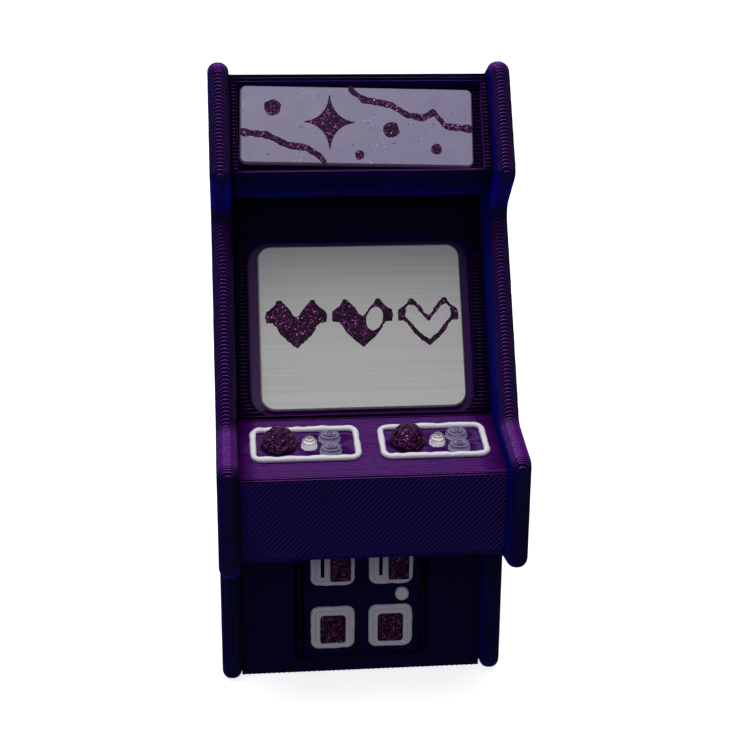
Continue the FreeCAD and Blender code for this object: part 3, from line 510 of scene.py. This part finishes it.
class Shell:
    """Collects layers, turned shapes and swept strands into one mesh, on a station.

    A layer's outlines are (x, z) points and its thickness runs along y, away from the viewer.
    """

    def __init__(self, station=None):
        self.station = station
        self.places, self.faces, self.smooth, self.sharp = [], [], [], set()

    def layer(self, loops, y, thick, swell, wobble_seed, inset=RIM_INSET, wobble_size=LAYER_SWELL):
        """One slab of the given outlines between y and y + thick, with a bulging rim."""
        for group in islands(loops):
            rims = {-0.5: [], 0.5: []}
            for loop in group:
                drawn = min(inset, LARGEST_INSET * math.sqrt(abs(area(loop)) / math.pi))
                spots = [Vector((x * WOBBLE_PER_METRE, z * WOBBLE_PER_METRE, wobble_seed)) for x, z in loop]
                wobble = [noise.noise(spot) * wobble_size for spot in spots]
                rings = [pushed(loop, np.array(wobble) + swell - drawn * share) for along, share in RIM]
                starts = self.rows([[(x, y + thick * (0.5 + along), z) for x, z in ring]
                                    for (along, share), ring in zip(RIM, rings)])
                rims[-0.5].append((starts[0], rings[0]))
                rims[0.5].append((starts[-1], rings[-1]))
            for ends in rims.values():
                self.cap(ends)

    def rows(self, rings, closed=False):
        """Joins rings of equally many points with quads; gives where each ring starts."""
        starts = []
        for ring in rings:
            starts.append(len(self.places))
            self.places += ring
        count = len(rings[0])
        following = starts[1:] + starts[:1] if closed else starts[1:]
        for here, there in zip(starts, following):
            for k in range(count):
                after = (k + 1) % count
                self.faces.append((here + k, here + after, there + after, there + k))
                self.smooth.append(True)
        return starts

    def cap(self, ends):
        """Closes rings, the first one outermost, with triangles."""
        numbers = [start + k for start, ring in ends for k in range(len(ring))]
        flat = [[Vector((x, z, 0)) for x, z in ring] for start, ring in ends]
        for corners in tessellate_polygon(flat):
            self.faces.append(tuple(numbers[k] for k in corners))
            self.smooth.append(False)
        for start, ring in ends:
            self.sharp |= {frozenset((start + k, start + (k + 1) % len(ring))) for k in range(len(ring))}

    def turned(self, middle, profile, bumps, grain, sides, seed):
        """An oval turned shape. The profile goes from the bottom to the top in (wide, deep, high)
        points, and noise draws the surface in by up to bumps."""
        rings = []
        room = max(wide for wide, deep, high in profile)
        for wide, deep, high in profile:
            ring = []
            for k in range(sides):
                angle = 2 * math.pi * k / sides
                spot = Vector((wide * math.cos(angle), deep * math.sin(angle), high))
                share = 0.5 + 0.5 * noise.noise(spot / (grain * MM) + Vector((seed, 0, 0)))
                shrink = 1 - bumps * share / room
                ring.append((middle[0] + spot.x * shrink, -spot.z * shrink, middle[1] + spot.y * shrink))
            rings.append(ring)
        starts = self.rows(rings)
        for start in (starts[0], starts[-1]):
            self.faces.append(tuple(range(start, start + sides)))
            self.smooth.append(True)

    def swept(self, path, section, wobble, seed):
        """A closed strand: the section's (out, up) points carried round a closed (x, s) path."""
        points = np.array(path)
        ahead = np.roll(points, -1, axis=0) - np.roll(points, 1, axis=0)
        ahead /= np.linalg.norm(ahead, axis=1, keepdims=True)
        spots = [Vector((x, s, 0)) / STRAND_GRAIN + Vector((0, 0, seed)) for x, s in points]
        grow = [1 + wobble * noise.noise(spot) for spot in spots]
        rings = [[(x + dz * out * g, -up * g, s - dx * out * g)
                  for (x, s), (dx, dz), g in zip(points, ahead, grow)] for out, up in section]
        self.rows(rings, closed=True)

    def finished(self, name, material):
        mesh = bpy.data.meshes.new(name)
        mesh.from_pydata(self.places, [], self.faces)
        mesh.polygons.foreach_set("use_smooth", self.smooth)
        edges = mesh.attributes.new("sharp_edge", "BOOLEAN", "EDGE")
        edges.data.foreach_set("value", [frozenset(edge.vertices) in self.sharp for edge in mesh.edges])
        mesh.materials.append(material)
        shape = bmesh.new()
        shape.from_mesh(mesh)
        bmesh.ops.recalc_face_normals(shape, faces=shape.faces)
        if self.station:
            shape.transform(self.station)
        shape.to_mesh(mesh)
        shape.free()
        return mesh


def show(name, mesh, body):
    """Adds a finished mesh as a piece that rides on a body."""
    item = bpy.data.objects.new(name, mesh)
    bpy.context.scene.collection.objects.link(item)
    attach(item, body)
    return item


def dressed(replaces=()):
    """Hides the designed nodes that a piece stands for, if any."""
    if replaces:
        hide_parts(*replaces)


def stacked(shell, name, shape, front=None):
    """Slices a shape from front to back and stacks the layers in a shell."""
    chance = random.Random(name)
    low, high = shape[0][:, 1].min(), shape[0][:, 1].max()
    count = max(1, round((high - low) / LAYER))
    thick = (high - low) / count
    for k in range(count):
        if front is not None and low + k * thick < front:
            continue
        loops = [evened(loop) for loop in outlines(shape, low + (k + 0.5) * thick + PLANE_NUDGE)]
        loops = [loop for loop in loops if len(loop) > 2 and abs(area(loop)) > SMALLEST_ISLAND]
        shift = np.array([chance.uniform(-1, 1), chance.uniform(-1, 1)]) * LAYER_SHIFT
        swell = chance.uniform(-0.5, 0.5) * LAYER_SWELL
        if loops:
            moved = [[p + shift for p in loop] for loop in loops]
            shell.layer(moved, low + k * thick, thick, swell, k * SEED_STEP)


def printed(node, material):
    """A designed node of the body as a stack of layers."""
    shell = Shell()
    stacked(shell, node, shape_of(nodes[node]))
    item = show("printed_" + node, shell.finished("printed_" + node, material), home[node])
    dressed([node])
    print(f"{item.name}: {len(item.data.polygons)} faces")


print("slices can be stacked")

# %% [markdown]
# ## The body, printed
#
# Every body panel that shows goes through the slicer. The bench-side pieces, such as the trays
# under the deck, stay as designed and only take the silk finish.

# %%
# Each panel's stack takes its painted light and shade tone.
for panel, tone in PANEL_PAINTED_LIGHT_AND_SHADE.items():
    printed(panel, silk(tone))

# %% [markdown]
# ## Stations
#
# The controls, the screen and the sign each lie on a sloping plane. A station is such a plane:
# x runs to the right, s up along the plane and h out of it, towards the viewer.

# %%
KICK_FRONT_Y = -1.2
OVAL_SIDES = 40
BUMP_STEP = 0.09


def station(y, z, rise, shift=(0, 0), skew=0.0):
    """The plane through (y, z) that rises at an angle, as a matrix for (x, -h, s)."""
    place = Matrix.Translation((0, y * MM, z * MM)) @ Matrix.Rotation(math.radians(rise - 90), 4, "X")
    return place @ Matrix.Translation((shift[0] * MM, 0, shift[1] * MM)) @ Matrix.Rotation(
        math.radians(-skew), 4, "Y")


DECK = station(-14.7, 30.402, 14.2)
SCREEN = station(-4.230, 33.051, 61.9)
SIGN = station(-0.389, 59.900, 60.8, shift=(-0.42, 5.385), skew=-1.6)
KICK = station(KICK_FRONT_Y, 0, 90)


def spaced(points, step):
    """Puts points at even steps along a closed outline."""
    closed = np.vstack([points, points[:1]])
    run = np.concatenate([[0], np.cumsum(np.linalg.norm(np.diff(closed, axis=0), axis=1))])
    marks = np.linspace(0, run[-1], max(8, round(run[-1] / step)), endpoint=False)
    return np.stack([np.interp(marks, run, closed[:, k]) for k in (0, 1)], axis=1)


def arc_cornered(x, s, radius, parts=7):
    """A rectangle with round corners, anticlockwise, in metres."""
    (left, right), (front, rear) = x, s
    corners = [(right - radius, rear - radius), (left + radius, rear - radius),
               (left + radius, front + radius), (right - radius, front + radius)]
    points = []
    for quarter, (across, up) in enumerate(corners):
        for k in range(parts + 1):
            angle = math.pi / 2 * (quarter + k / parts)
            points.append((across + radius * math.cos(angle), up + radius * math.sin(angle)))
    return np.array(points) * MM


def oval(x, s, wide, deep, lean=0.0):
    """An oval outline, anticlockwise, in metres."""
    points = []
    for k in range(OVAL_SIDES):
        angle = 2 * math.pi * k / OVAL_SIDES
        across, along = wide * math.cos(angle), deep * math.sin(angle)
        points.append((x + across * math.cos(lean) - along * math.sin(lean),
                       s + across * math.sin(lean) + along * math.cos(lean)))
    return np.array(points) * MM


def bumpy(points, size, grain, seed):
    """An outline with melted-looking bumps along it."""
    loop = spaced(points, BUMP_STEP * MM)
    spots = [Vector((x, s, 0)) / (grain * MM) + Vector((0, 0, seed)) for x, s in loop]
    return pushed(loop, [noise.noise(spot) * size * MM for spot in spots])


print("four stations ready")

# %% [markdown]
# ## Infill beads
#
# The flat fronts were filled with diagonal strands, each of which stands a little proud. One
# Geometry Nodes group lays them: it puts a unit cylinder on every point, leans it over, and
# stretches it to the length that the point carries. The points are worked out beforehand, one per
# diagonal that crosses the panel, less the parts that the doorway and the bezels take.

# %%
BEAD_PITCH = 0.42 * MM
BEAD_WIDTH = 0.40 * MM
BEAD_RISE = 0.20 * MM
BEAD_SIDES = 12


def bead_group():
    group = bpy.data.node_groups.new("leaning beads", "GeometryNodeTree")
    interface = group.interface
    interface.new_socket("Strokes", in_out="INPUT", socket_type="NodeSocketGeometry")
    for name in ("Width", "Rise", "Lean"):
        interface.new_socket(name, in_out="INPUT", socket_type="NodeSocketFloat")
    interface.new_socket("Finish", in_out="INPUT", socket_type="NodeSocketMaterial")
    interface.new_socket("Beads", in_out="OUTPUT", socket_type="NodeSocketGeometry")

    def add(kind, **settings):
        node = group.nodes.new(kind)
        for name, setting in settings.items():
            setattr(node, name, setting)
        return node

    def join(source, output, target, socket):
        group.links.new(source.outputs[output], target.inputs[socket])

    given = add("NodeGroupInput")
    length = add("GeometryNodeInputNamedAttribute", data_type="FLOAT")
    length.inputs["Name"].default_value = "length"
    strand_shape = add("GeometryNodeMeshCylinder")
    for socket, number in (("Vertices", BEAD_SIDES), ("Radius", 0.5), ("Depth", 1.0)):
        strand_shape.inputs[socket].default_value = number
    stretch = add("ShaderNodeCombineXYZ")
    join(given, "Width", stretch, "X")
    join(given, "Rise", stretch, "Y")
    join(length, "Attribute", stretch, "Z")
    lean = add("ShaderNodeCombineXYZ")
    join(given, "Lean", lean, "Y")
    put = add("GeometryNodeInstanceOnPoints")
    join(given, "Strokes", put, "Points")
    join(strand_shape, "Mesh", put, "Instance")
    join(lean, "Vector", put, "Rotation")
    join(stretch, "Vector", put, "Scale")
    real = add("GeometryNodeRealizeInstances")
    join(put, "Instances", real, "Geometry")
    coat = add("GeometryNodeSetMaterial")
    join(real, "Geometry", coat, "Geometry")
    join(given, "Finish", coat, "Material")
    result = add("NodeGroupOutput")
    join(coat, "Geometry", result, "Beads")
    return group


BEADS = bead_group()


def strokes(x, z, gaps=()):
    """Middle and length of each 45 degree diagonal across a rectangle, outside the gaps."""
    found = []
    offset = x[0] - z[1]
    while offset < x[1] - z[0]:
        offset += BEAD_PITCH * math.sqrt(2)
        spans = [(max(x[0], z[0] + offset), min(x[1], z[1] + offset))]
        for (left, right), (low, high) in gaps:
            entry, leave = max(left, low + offset), min(right, high + offset)
            if entry < leave:
                spans = [(first, min(last, entry)) for first, last in spans] + [
                    (max(first, leave), last) for first, last in spans]
        for first, last in spans:
            if last - first > BEAD_PITCH:
                middle = (first + last) / 2
                found.append((middle, middle - offset, (last - first) * math.sqrt(2)))
    return found


def infill(name, y, where, body, material):
    """Beads over a flat front at y."""
    mesh = bpy.data.meshes.new(name)
    mesh.from_pydata([(x, y, z) for x, z, length in where], [], [])
    lengths = mesh.attributes.new("length", "FLOAT", "POINT")
    lengths.data.foreach_set("value", [length for x, z, length in where])
    item = bpy.data.objects.new(name, mesh)
    bpy.context.scene.collection.objects.link(item)
    beads = item.modifiers.new("beads", "NODES")
    beads.node_group = BEADS
    wanted = {"Width": BEAD_WIDTH, "Rise": BEAD_RISE, "Lean": math.radians(45), "Finish": material}
    for socket in BEADS.interface.items_tree:
        if socket.name in wanted:
            beads[socket.identifier] = wanted[socket.name]
    baked = bpy.data.meshes.new_from_object(item.evaluated_get(bpy.context.evaluated_depsgraph_get()))
    item.modifiers.remove(beads)
    item.data = baked
    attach(item, body)
    dressed()
    print(f"{name}: {len(where)} beads, {len(baked.polygons)} faces")


def region(x_low, x_high, z_low, z_high):
    """A rectangle on an upright front: its reach in x and in z, in metres."""
    return (x_low * MM, x_high * MM), (z_low * MM, z_high * MM)


APRON_FRONT = region(-14.15, 14.15, 21.35, 30.0)
KICK_FRONT = region(-14.15, 14.15, 0.1, 20.8)
DOORWAY = region(-8.0, 8.0, 1.5, 18.0)
DOOR_FRONT = region(-6.7, 6.7, 2.3, 17.3)
COIN_X = {"left": -6.025, "right": 0.825}
BEZEL_WIDTH, BEZEL_HEIGHT, BEZEL_RISE, BEZEL_RIM = 5.2, 5.4, 0.5, 0.62
BEZEL_BOTTOM = {"coin_slot_bezel": 11.4, "return_bezel": 3.2}
BEZELS = [region(left, left + BEZEL_WIDTH, low, low + BEZEL_HEIGHT)
          for left in COIN_X.values() for low in BEZEL_BOTTOM.values()]
BEADED = [
    ("apron_beads", "apron_panel", -14.69, APRON_FRONT, ()),
    ("kick_beads", "kick_panel", -1.19, KICK_FRONT, [DOORWAY]),
    ("door_beads", "coin_door", -1.19, DOOR_FRONT, BEZELS),
]
# The beads take their panel's painted light and shade tone.
for name, panel, y, front, gaps in BEADED:
    infill(name, y * MM, strokes(*front, gaps), home[panel], silk(PANEL_PAINTED_LIGHT_AND_SHADE[panel]))

# %% [markdown]
# ## Deck controls
#
# A player's frame is one thick white strand that was laid round the tray. The stick's ball is a
# dome with small lumps, and the buttons are turned shapes whose rings show, because a printer lays
# a dome as ever smaller circles. A thin dark ring of painted shade marks where some of those circles meet.

# %%
PLAYERS = {"left": 0.0, "right": 13.9}
FRAME_X, FRAME_S, FRAME_ROUND, FRAME_BAR, FRAME_RISE = (-12.9, -1.0), (2.85, 9.05), 0.85, 0.7, 0.55
STEP_ALONG, FRAME_WOBBLE = 0.22, 0.22
STICK = (-9.75, 5.95)
BALL_RADIUS, BALL_RISE, BALL_ROWS, BALL_SIDES = 2.0, 0.351, 26, 80
BALL_BUMPS, BALL_GRAIN = 0.22, 0.42
START = (-6.5, 5.95)
ACTION_X = -4.25
ACTION_ROWS = {"front": 4.8, "rear": 7.1}
START_HEAD = (0.88, 0.88, 0.1, 1.05, 2.0)       # half width, half depth, edge, top and flatness
ACTION_HEAD = (1.2, 0.92, 0.2, 0.8, 2.6)
STEM_LOW, COLLAR_LOW, COLLAR_HIGH, STEM, FLANGE = -2.74, -2.10, -1.65, 0.55, 0.11
HEAD_BUMPS, HEAD_GRAIN, HEAD_SIDES = 0.02, 0.4, 48
RING_STEP, RING_DEPTH = 0.30, 0.12
# Where the rings of painted shade lie on a button's top, and their size.
SHADE_RING_SHARES, SHADE_RING_WIDTH, SHADE_RING_SINK, SHADE_RING_WOBBLE = (0.86, 0.56, 0.26), 0.13, 0.05, 0.1
TIP = 1e-5                                      # keeps a top's last ring from closing to a point


def bead_section(width, rise, sides=12):
    """A strand's cross-section as (out, up): round above, and flat where it meets the board."""
    points = []
    for k in range(sides):
        angle = 2 * math.pi * k / sides
        up = rise * (0.42 + 0.58 * math.sin(angle))
        points.append((0.5 * width * math.cos(angle) * MM, max(up, 0.0) * MM))
    return points


def control_frame(side, shift):
    bar = FRAME_BAR / 2
    path = arc_cornered((FRAME_X[0] + bar + shift, FRAME_X[1] - bar + shift),
                        (FRAME_S[0] + bar, FRAME_S[1] - bar), FRAME_ROUND)
    shell = Shell(DECK)
    shell.swept(spaced(path, STEP_ALONG * MM), bead_section(FRAME_BAR, FRAME_RISE), FRAME_WOBBLE, shift)
    name = f"{side}_control_frame"
    item = show("strand_" + name, shell.finished(name, WHITE), home[name])
    dressed([name])


def ball(side, shift):
    """A lumpy dome that is drawn in below its bottom edge."""
    profile = [(0.5 * BALL_RADIUS * MM, 0.5 * BALL_RADIUS * MM, BALL_RISE * MM)]
    for k in range(BALL_ROWS + 1):
        angle = math.pi / 2 * k / BALL_ROWS
        wide = BALL_RADIUS * math.cos(angle) * MM
        profile.append((wide, wide, (BALL_RISE + BALL_RADIUS * math.sin(angle)) * MM))
    profile[-1] = (TIP * MM, TIP * MM, profile[-1][2])
    shell = Shell(DECK)
    middle = ((STICK[0] + shift) * MM, STICK[1] * MM)
    shell.turned(middle, profile, BALL_BUMPS * MM, BALL_GRAIN, BALL_SIDES, shift)
    name = f"{side}_joystick_ball"
    item = show("lumpy_" + name, shell.finished(name, GLITTER), home[name])
    dressed([name])


def dome_height(share, base, rise, flatness):
    """How high a button's head is at a share of the way from its middle to its edge."""
    return base + (rise - base) * (1 - share ** flatness) ** (1 / flatness)


def rings_of_dome(wide, deep, *rounding):
    """The top of a button in (wide, deep, high) points, stepped in rings."""
    points = []
    steps = round(wide / RING_STEP)
    for k in range(steps + 1):
        share = 1 - k / steps
        high = dome_height(share, *rounding)
        for inward, dip in ((0.0, 0.0), (0.5, RING_DEPTH)):
            narrow = max(share - inward / steps, 1e-4)
            points.append((wide * narrow * MM, deep * narrow * MM, (high - dip) * MM))
    return points


def push_button(name, middle, head, material):
    """Stem, collar, straight head and ringed top."""
    wide, deep = head[:2]
    profile = [(STEM * MM, STEM * MM, STEM_LOW * MM), (STEM * MM, STEM * MM, COLLAR_LOW * MM),
               ((wide + FLANGE) * MM, (deep + FLANGE) * MM, COLLAR_LOW * MM),
               ((wide + FLANGE) * MM, (deep + FLANGE) * MM, COLLAR_HIGH * MM),
               (wide * MM, deep * MM, COLLAR_HIGH * MM)]
    profile += rings_of_dome(*head)
    shell = Shell(DECK)
    shell.turned((middle[0] * MM, middle[1] * MM), profile, HEAD_BUMPS * MM, HEAD_GRAIN, HEAD_SIDES,
                 middle[0])
    item = show("turned_" + name, shell.finished(name, material), home[name])
    dressed([name])


def painted_ring_shade(name, middle, head, material):
    """Thin dark rings of painted shade where one circle of strand meets the next."""
    wide, deep, *rounding = head
    shell = Shell(DECK)
    for share in SHADE_RING_SHARES:
        high = dome_height(share, *rounding) - SHADE_RING_SINK
        section = [(out, up + high * MM) for out, up in bead_section(SHADE_RING_WIDTH, 2 * SHADE_RING_SINK, sides=6)]
        shell.swept(oval(*middle, wide * share, deep * share), section, SHADE_RING_WOBBLE, share)
    item = show("rings_" + name, shell.finished(name + " rings", material), home[name])
    dressed()


for side, shift in PLAYERS.items():
    control_frame(side, shift)
    ball(side, shift)
    middle = (START[0] + shift, START[1])
    push_button(f"{side}_start_button", middle, START_HEAD, WHITE)
    painted_ring_shade(f"{side}_start_button", middle, START_HEAD, WHITE_RING_SHADE)
    for row, s in ACTION_ROWS.items():
        middle = (ACTION_X + shift, s)
        push_button(f"{side}_{row}_action_button", middle, ACTION_HEAD, LILAC)
        painted_ring_shade(f"{side}_{row}_action_button", middle, ACTION_HEAD, LILAC_RING_SHADE)
print("deck controls shaped")

# %% [markdown]
# ## Coin door
#
# The bezels are white strands round a dish. The dish and its slots come from the slicer; the rim
# is swept, with more wobble than the deck's frames because it is shorter and was laid quickly.

# %%
DISH_FRONT = KICK_FRONT_Y - 0.28
BEZEL_ROUND, BEZEL_STEP, BEZEL_WOBBLE = 0.7, 0.2, 0.24
REJECT = (2.4, 2.3, 0.6, 4.2)       # left edge, width, bottom edge and height on its bezel
REJECT_FRONT = KICK_FRONT_Y - 0.58
REJECT_MARGIN, BEAD_SINK = 0.36, 0.03

for side, left in COIN_X.items():
    for kind, bottom in BEZEL_BOTTOM.items():
        name = f"{side}_{kind}"
        shell = Shell()
        stacked(shell, name, shape_of(nodes[name]), front=DISH_FRONT * MM)
        rim = BEZEL_RIM / 2
        path = arc_cornered((left + rim, left + BEZEL_WIDTH - rim),
                            (bottom + rim, bottom + BEZEL_HEIGHT - rim), BEZEL_ROUND)
        start = len(shell.places)
        shell.swept(spaced(path, BEZEL_STEP * MM), bead_section(BEZEL_RIM, BEZEL_RISE), BEZEL_WOBBLE,
                    bottom + left)
        shell.places[start:] = [tuple(KICK @ Vector(p)) for p in shell.places[start:]]
        item = show("strand_" + name, shell.finished(name, WHITE), home[name])
        dressed([name])
    x, width, lift, height = REJECT
    low = BEZEL_BOTTOM["coin_slot_bezel"] + lift
    square = region(left + x + REJECT_MARGIN, left + x + width - REJECT_MARGIN,
                    low + REJECT_MARGIN, low + height - REJECT_MARGIN)
    infill(f"{side}_reject_beads", (REJECT_FRONT + BEAD_SINK) * MM, strokes(*square),
           home[f"{side}_reject_button"], GLITTER)
print("bezels and reject buttons dressed")

# %% [markdown]
# ## Plates and inlays
#
# Both plates were printed face down, with the inlays' filament laid first. So an inlay is level
# with its plate, and its edge shows the bumps of the nozzle's path. A nearly black strip of painted
# shade runs round it, standing for the shade in the gap where the two filaments didn't quite meet. It
# is a wider copy of the inlay, laid a hair lower.

# %%
HEART_SIDE = [(0.32, 0.17), (0.54, 0.31), (0.67, 0.465), (0.80, 0.535), (0.98, 0.535), (1.0, 0.66),
              (0.98, 0.75), (0.80, 0.82), (0.69, 0.89), (0.60, 0.985), (0.51, 0.985), (0.38, 0.89),
              (0.21, 0.775), (0.14, 0.68)]
HEART_HOLLOW = [(0.35, 0.275), (0.58, 0.45), (0.79, 0.60), (0.78, 0.80), (0.63, 0.884), (0.44, 0.855),
                (0.163, 0.638)]
HEART_NOTCH, HOLLOW_TIP, HOLLOW_NOTCH = 0.62, 0.10, 0.52
HEART_WIDTH, HEART_HEIGHT, HEART_TIP, HEART_PITCH, HEART_SHIFT = 6.75, 5.44, 8.26, 7.46, 0.19
SCREEN_PLATE = (-11.5, 11.6), (1.19, 20.0)
SIGN_PLATE = (-12.73, 12.73), (-4.475, 4.475)
SCREEN_FRONT, SIGN_FRONT = -0.35, -0.2          # how far a plate's face is before its station
EDGE_INSET, EDGE_WOBBLE = 0.2 * MM, 0.05 * MM
INLAY_DEPTH = 0.3 * MM
PROUD = 0.012
GROOVE = 0.085 * MM
HEART_BUMPS = (0.10, 0.35)                      # size and grain
HOLLOW_BUMPS = (0.09, 0.4)
HOLE, HOLE_BUMPS = (HEART_SHIFT + 1.36, 11.42, 1.0, 1.45, -0.3), (0.05, 0.5)
STAR = (-3.0, 0.35, 2.75, 3.1, 3.5)             # middle, half width, half height and hollowness
STAR_STEPS = 10
DOT_BUMPS, VEIN_BUMPS = (0.13, 0.4), (0.07, 0.35)
VEIN_WIDTH, VEIN_CHANGE, VEIN_GRAIN, VEIN_STEP = 0.62, 0.55, 0.8, 0.15
DOTS = [(-9.2, 1.9, 0.84), (3.7, -0.4, 0.83), (8.6, -2.55, 0.5), (0.25, -3.35, 0.45)]
VEINS = [
    [(-12.6, -0.96), (-9.75, -1.25), (-7.6, -2.35), (-5.5, -2.65), (-4.2, -3.5), (-3.45, -4.3)],
    [(-0.85, 4.3), (0.6, 3.0), (3.7, 2.45), (5.5, 1.3), (7.2, 1.0), (8.4, 1.7), (9.7, 0.1), (12.6, -0.19)],
]


def running(loop, anticlockwise):
    """The loop in the wanted direction."""
    return loop if (area(loop) > 0) == anticlockwise else loop[::-1]


def plate(name, where, x_s, corner, front, thick, material):
    """A slab whose front edge is softly rounded."""
    shell = Shell(where)
    outline = arc_cornered(*x_s, corner)
    shell.layer([outline], -front * MM, thick * MM, 0.0, 1.0, inset=EDGE_INSET, wobble_size=EDGE_WOBBLE)
    item = show("full_" + name, shell.finished(name, material), home[name])
    dressed([name])


def laid(where, groups, front, inset, grown=None):
    """Thin slabs on a station. A group is an outline and its holes."""
    shell = Shell(where)
    for number, group in enumerate(groups):
        loops = [running(loop, anticlockwise=k == 0) for k, loop in enumerate(group)]
        if grown:
            loops = [pushed(loop, grown) for loop in loops]
        shell.layer(loops, -front * MM, INLAY_DEPTH, 0.0, number, inset=inset * MM, wobble_size=0.0)
    return shell


def inlay(name, where, groups, front):
    """Glitter shapes a hair proud of a plate's face, each ringed by a strip of painted shade."""
    shapes = laid(where, groups, front + PROUD, inset=0.01)
    item = show("inlay_" + name, shapes.finished(name, GLITTER), home[name])
    dressed([name])
    # a nearly black strip of painted shade round the inlay
    grooves = laid(where, groups, front + PROUD / 2, inset=0.005, grown=GROOVE)
    item = show("groove_" + name, grooves.finished(name + " groove", GROOVE_SHADE), home[name])
    dressed()


def heart(step, side=HEART_SIDE, tip=0.0, notch=HEART_NOTCH):
    """A closed heart from its right-hand side, in shares of its half width and its height."""
    middle = HEART_SHIFT + HEART_PITCH * step
    right = [(0, tip)] + side + [(0, notch)]
    left = [(-across, up) for across, up in side[::-1]]
    return np.array([(middle + across * HEART_WIDTH / 2, HEART_TIP + up * HEART_HEIGHT)
                     for across, up in right + left]) * MM


def concave_star(x, s, wide, high, hollow):
    """Four points joined by curves that bend inwards."""
    points = []
    for quarter in range(4):
        for k in range(STAR_STEPS):
            angle = math.pi / 2 * k / STAR_STEPS
            across, along = math.cos(angle) ** hollow, math.sin(angle) ** hollow
            turn = math.pi / 2 * quarter
            points.append((x + wide * (across * math.cos(turn) - along * math.sin(turn)),
                           s + high * (across * math.sin(turn) + along * math.cos(turn))))
    return np.array(points) * MM


def band(path, seed):
    """A crooked vein of uneven width."""
    line = np.array(path) * MM
    run = np.concatenate([[0], np.cumsum(np.linalg.norm(np.diff(line, axis=0), axis=1))])
    marks = np.linspace(0, run[-1], round(run[-1] / (VEIN_STEP * MM)))
    middle = np.stack([np.interp(marks, run, line[:, k]) for k in (0, 1)], axis=1)
    change = [noise.noise(Vector((mark / (VEIN_GRAIN * MM), seed, 0))) for mark in marks]
    half = np.array([0.5 * VEIN_WIDTH * (1 + VEIN_CHANGE * share) * MM for share in change])
    up = np.stack([np.zeros(len(marks)), half], axis=1)
    return np.vstack([middle - up, (middle + up)[::-1]])


plate("screen_plate", SCREEN, SCREEN_PLATE, 1.6, SCREEN_FRONT, 1.2, WHITE_PLATE)
hole = bumpy(oval(*HOLE), *HOLE_BUMPS, 3.0)
hollow = bumpy(heart(1, HEART_HOLLOW, HOLLOW_TIP, HOLLOW_NOTCH), *HOLLOW_BUMPS, 5.0)
inlay("heart_full", SCREEN, [[bumpy(heart(-1), *HEART_BUMPS, 1.0)]], SCREEN_FRONT)
inlay("heart_half", SCREEN, [[bumpy(heart(0), *HEART_BUMPS, 2.0), hole]], SCREEN_FRONT)
inlay("heart_outline", SCREEN, [[bumpy(heart(1), *HEART_BUMPS, 4.0), hollow]], SCREEN_FRONT)

plate("marquee_plate", SIGN, SIGN_PLATE, 0.7, SIGN_FRONT, 1.0, LILAC_PLATE)
dots = [[bumpy(oval(x, s, radius, radius), *DOT_BUMPS, x)] for x, s, radius in DOTS]
veins = [[bumpy(band(path, k), *VEIN_BUMPS, k)] for k, path in enumerate(VEINS)]
inlay("marquee_star", SIGN, [[concave_star(*STAR)]], SIGN_FRONT)
inlay("marquee_dots", SIGN, dots, SIGN_FRONT)
inlay("marquee_veins", SIGN, veins, SIGN_FRONT)
print("plates and inlays laid")

# %% [markdown]
# ## Floor
#
# The paper gives its own light, brighter with distance, so it runs out to plain white. It casts
# none of that light on the toy.

# %%
NEAR, FAR = 0.03, 0.35      # where the paper's glow starts and ends its climb, in metres
FAR_GLOW = 1.05


def paper():
    finish = Finish("white paper", Roughness=0.9, Emission_Strength=1.0)
    finish.set("Base Color", finish.mix(finish.grain(60 * MM), (0.90, 0.91, 0.92), (0.93, 0.94, 0.95)))
    away = finish.add("ShaderNodeVectorMath", "Value", operation="LENGTH", inputs={0: finish.place()})
    finish.set("Emission Color", finish.mix(away.ramp(NEAR, FAR), (PAPER_GLOW,) * 3, (FAR_GLOW,) * 3))
    return finish.material


half = FLOOR_SIZE / 2
corners = [(-half, -half, 0), (half, -half, 0), (half, half, 0), (-half, half, 0)]
floor_mesh = bpy.data.meshes.new("paper")
floor_mesh.from_pydata(corners, [], [(0, 1, 2, 3)])
floor_mesh.materials.append(paper())
floor = bpy.data.objects.new("paper", floor_mesh)
floor.visible_diffuse = False
floor.visible_glossy = False
bpy.context.scene.collection.objects.link(floor)
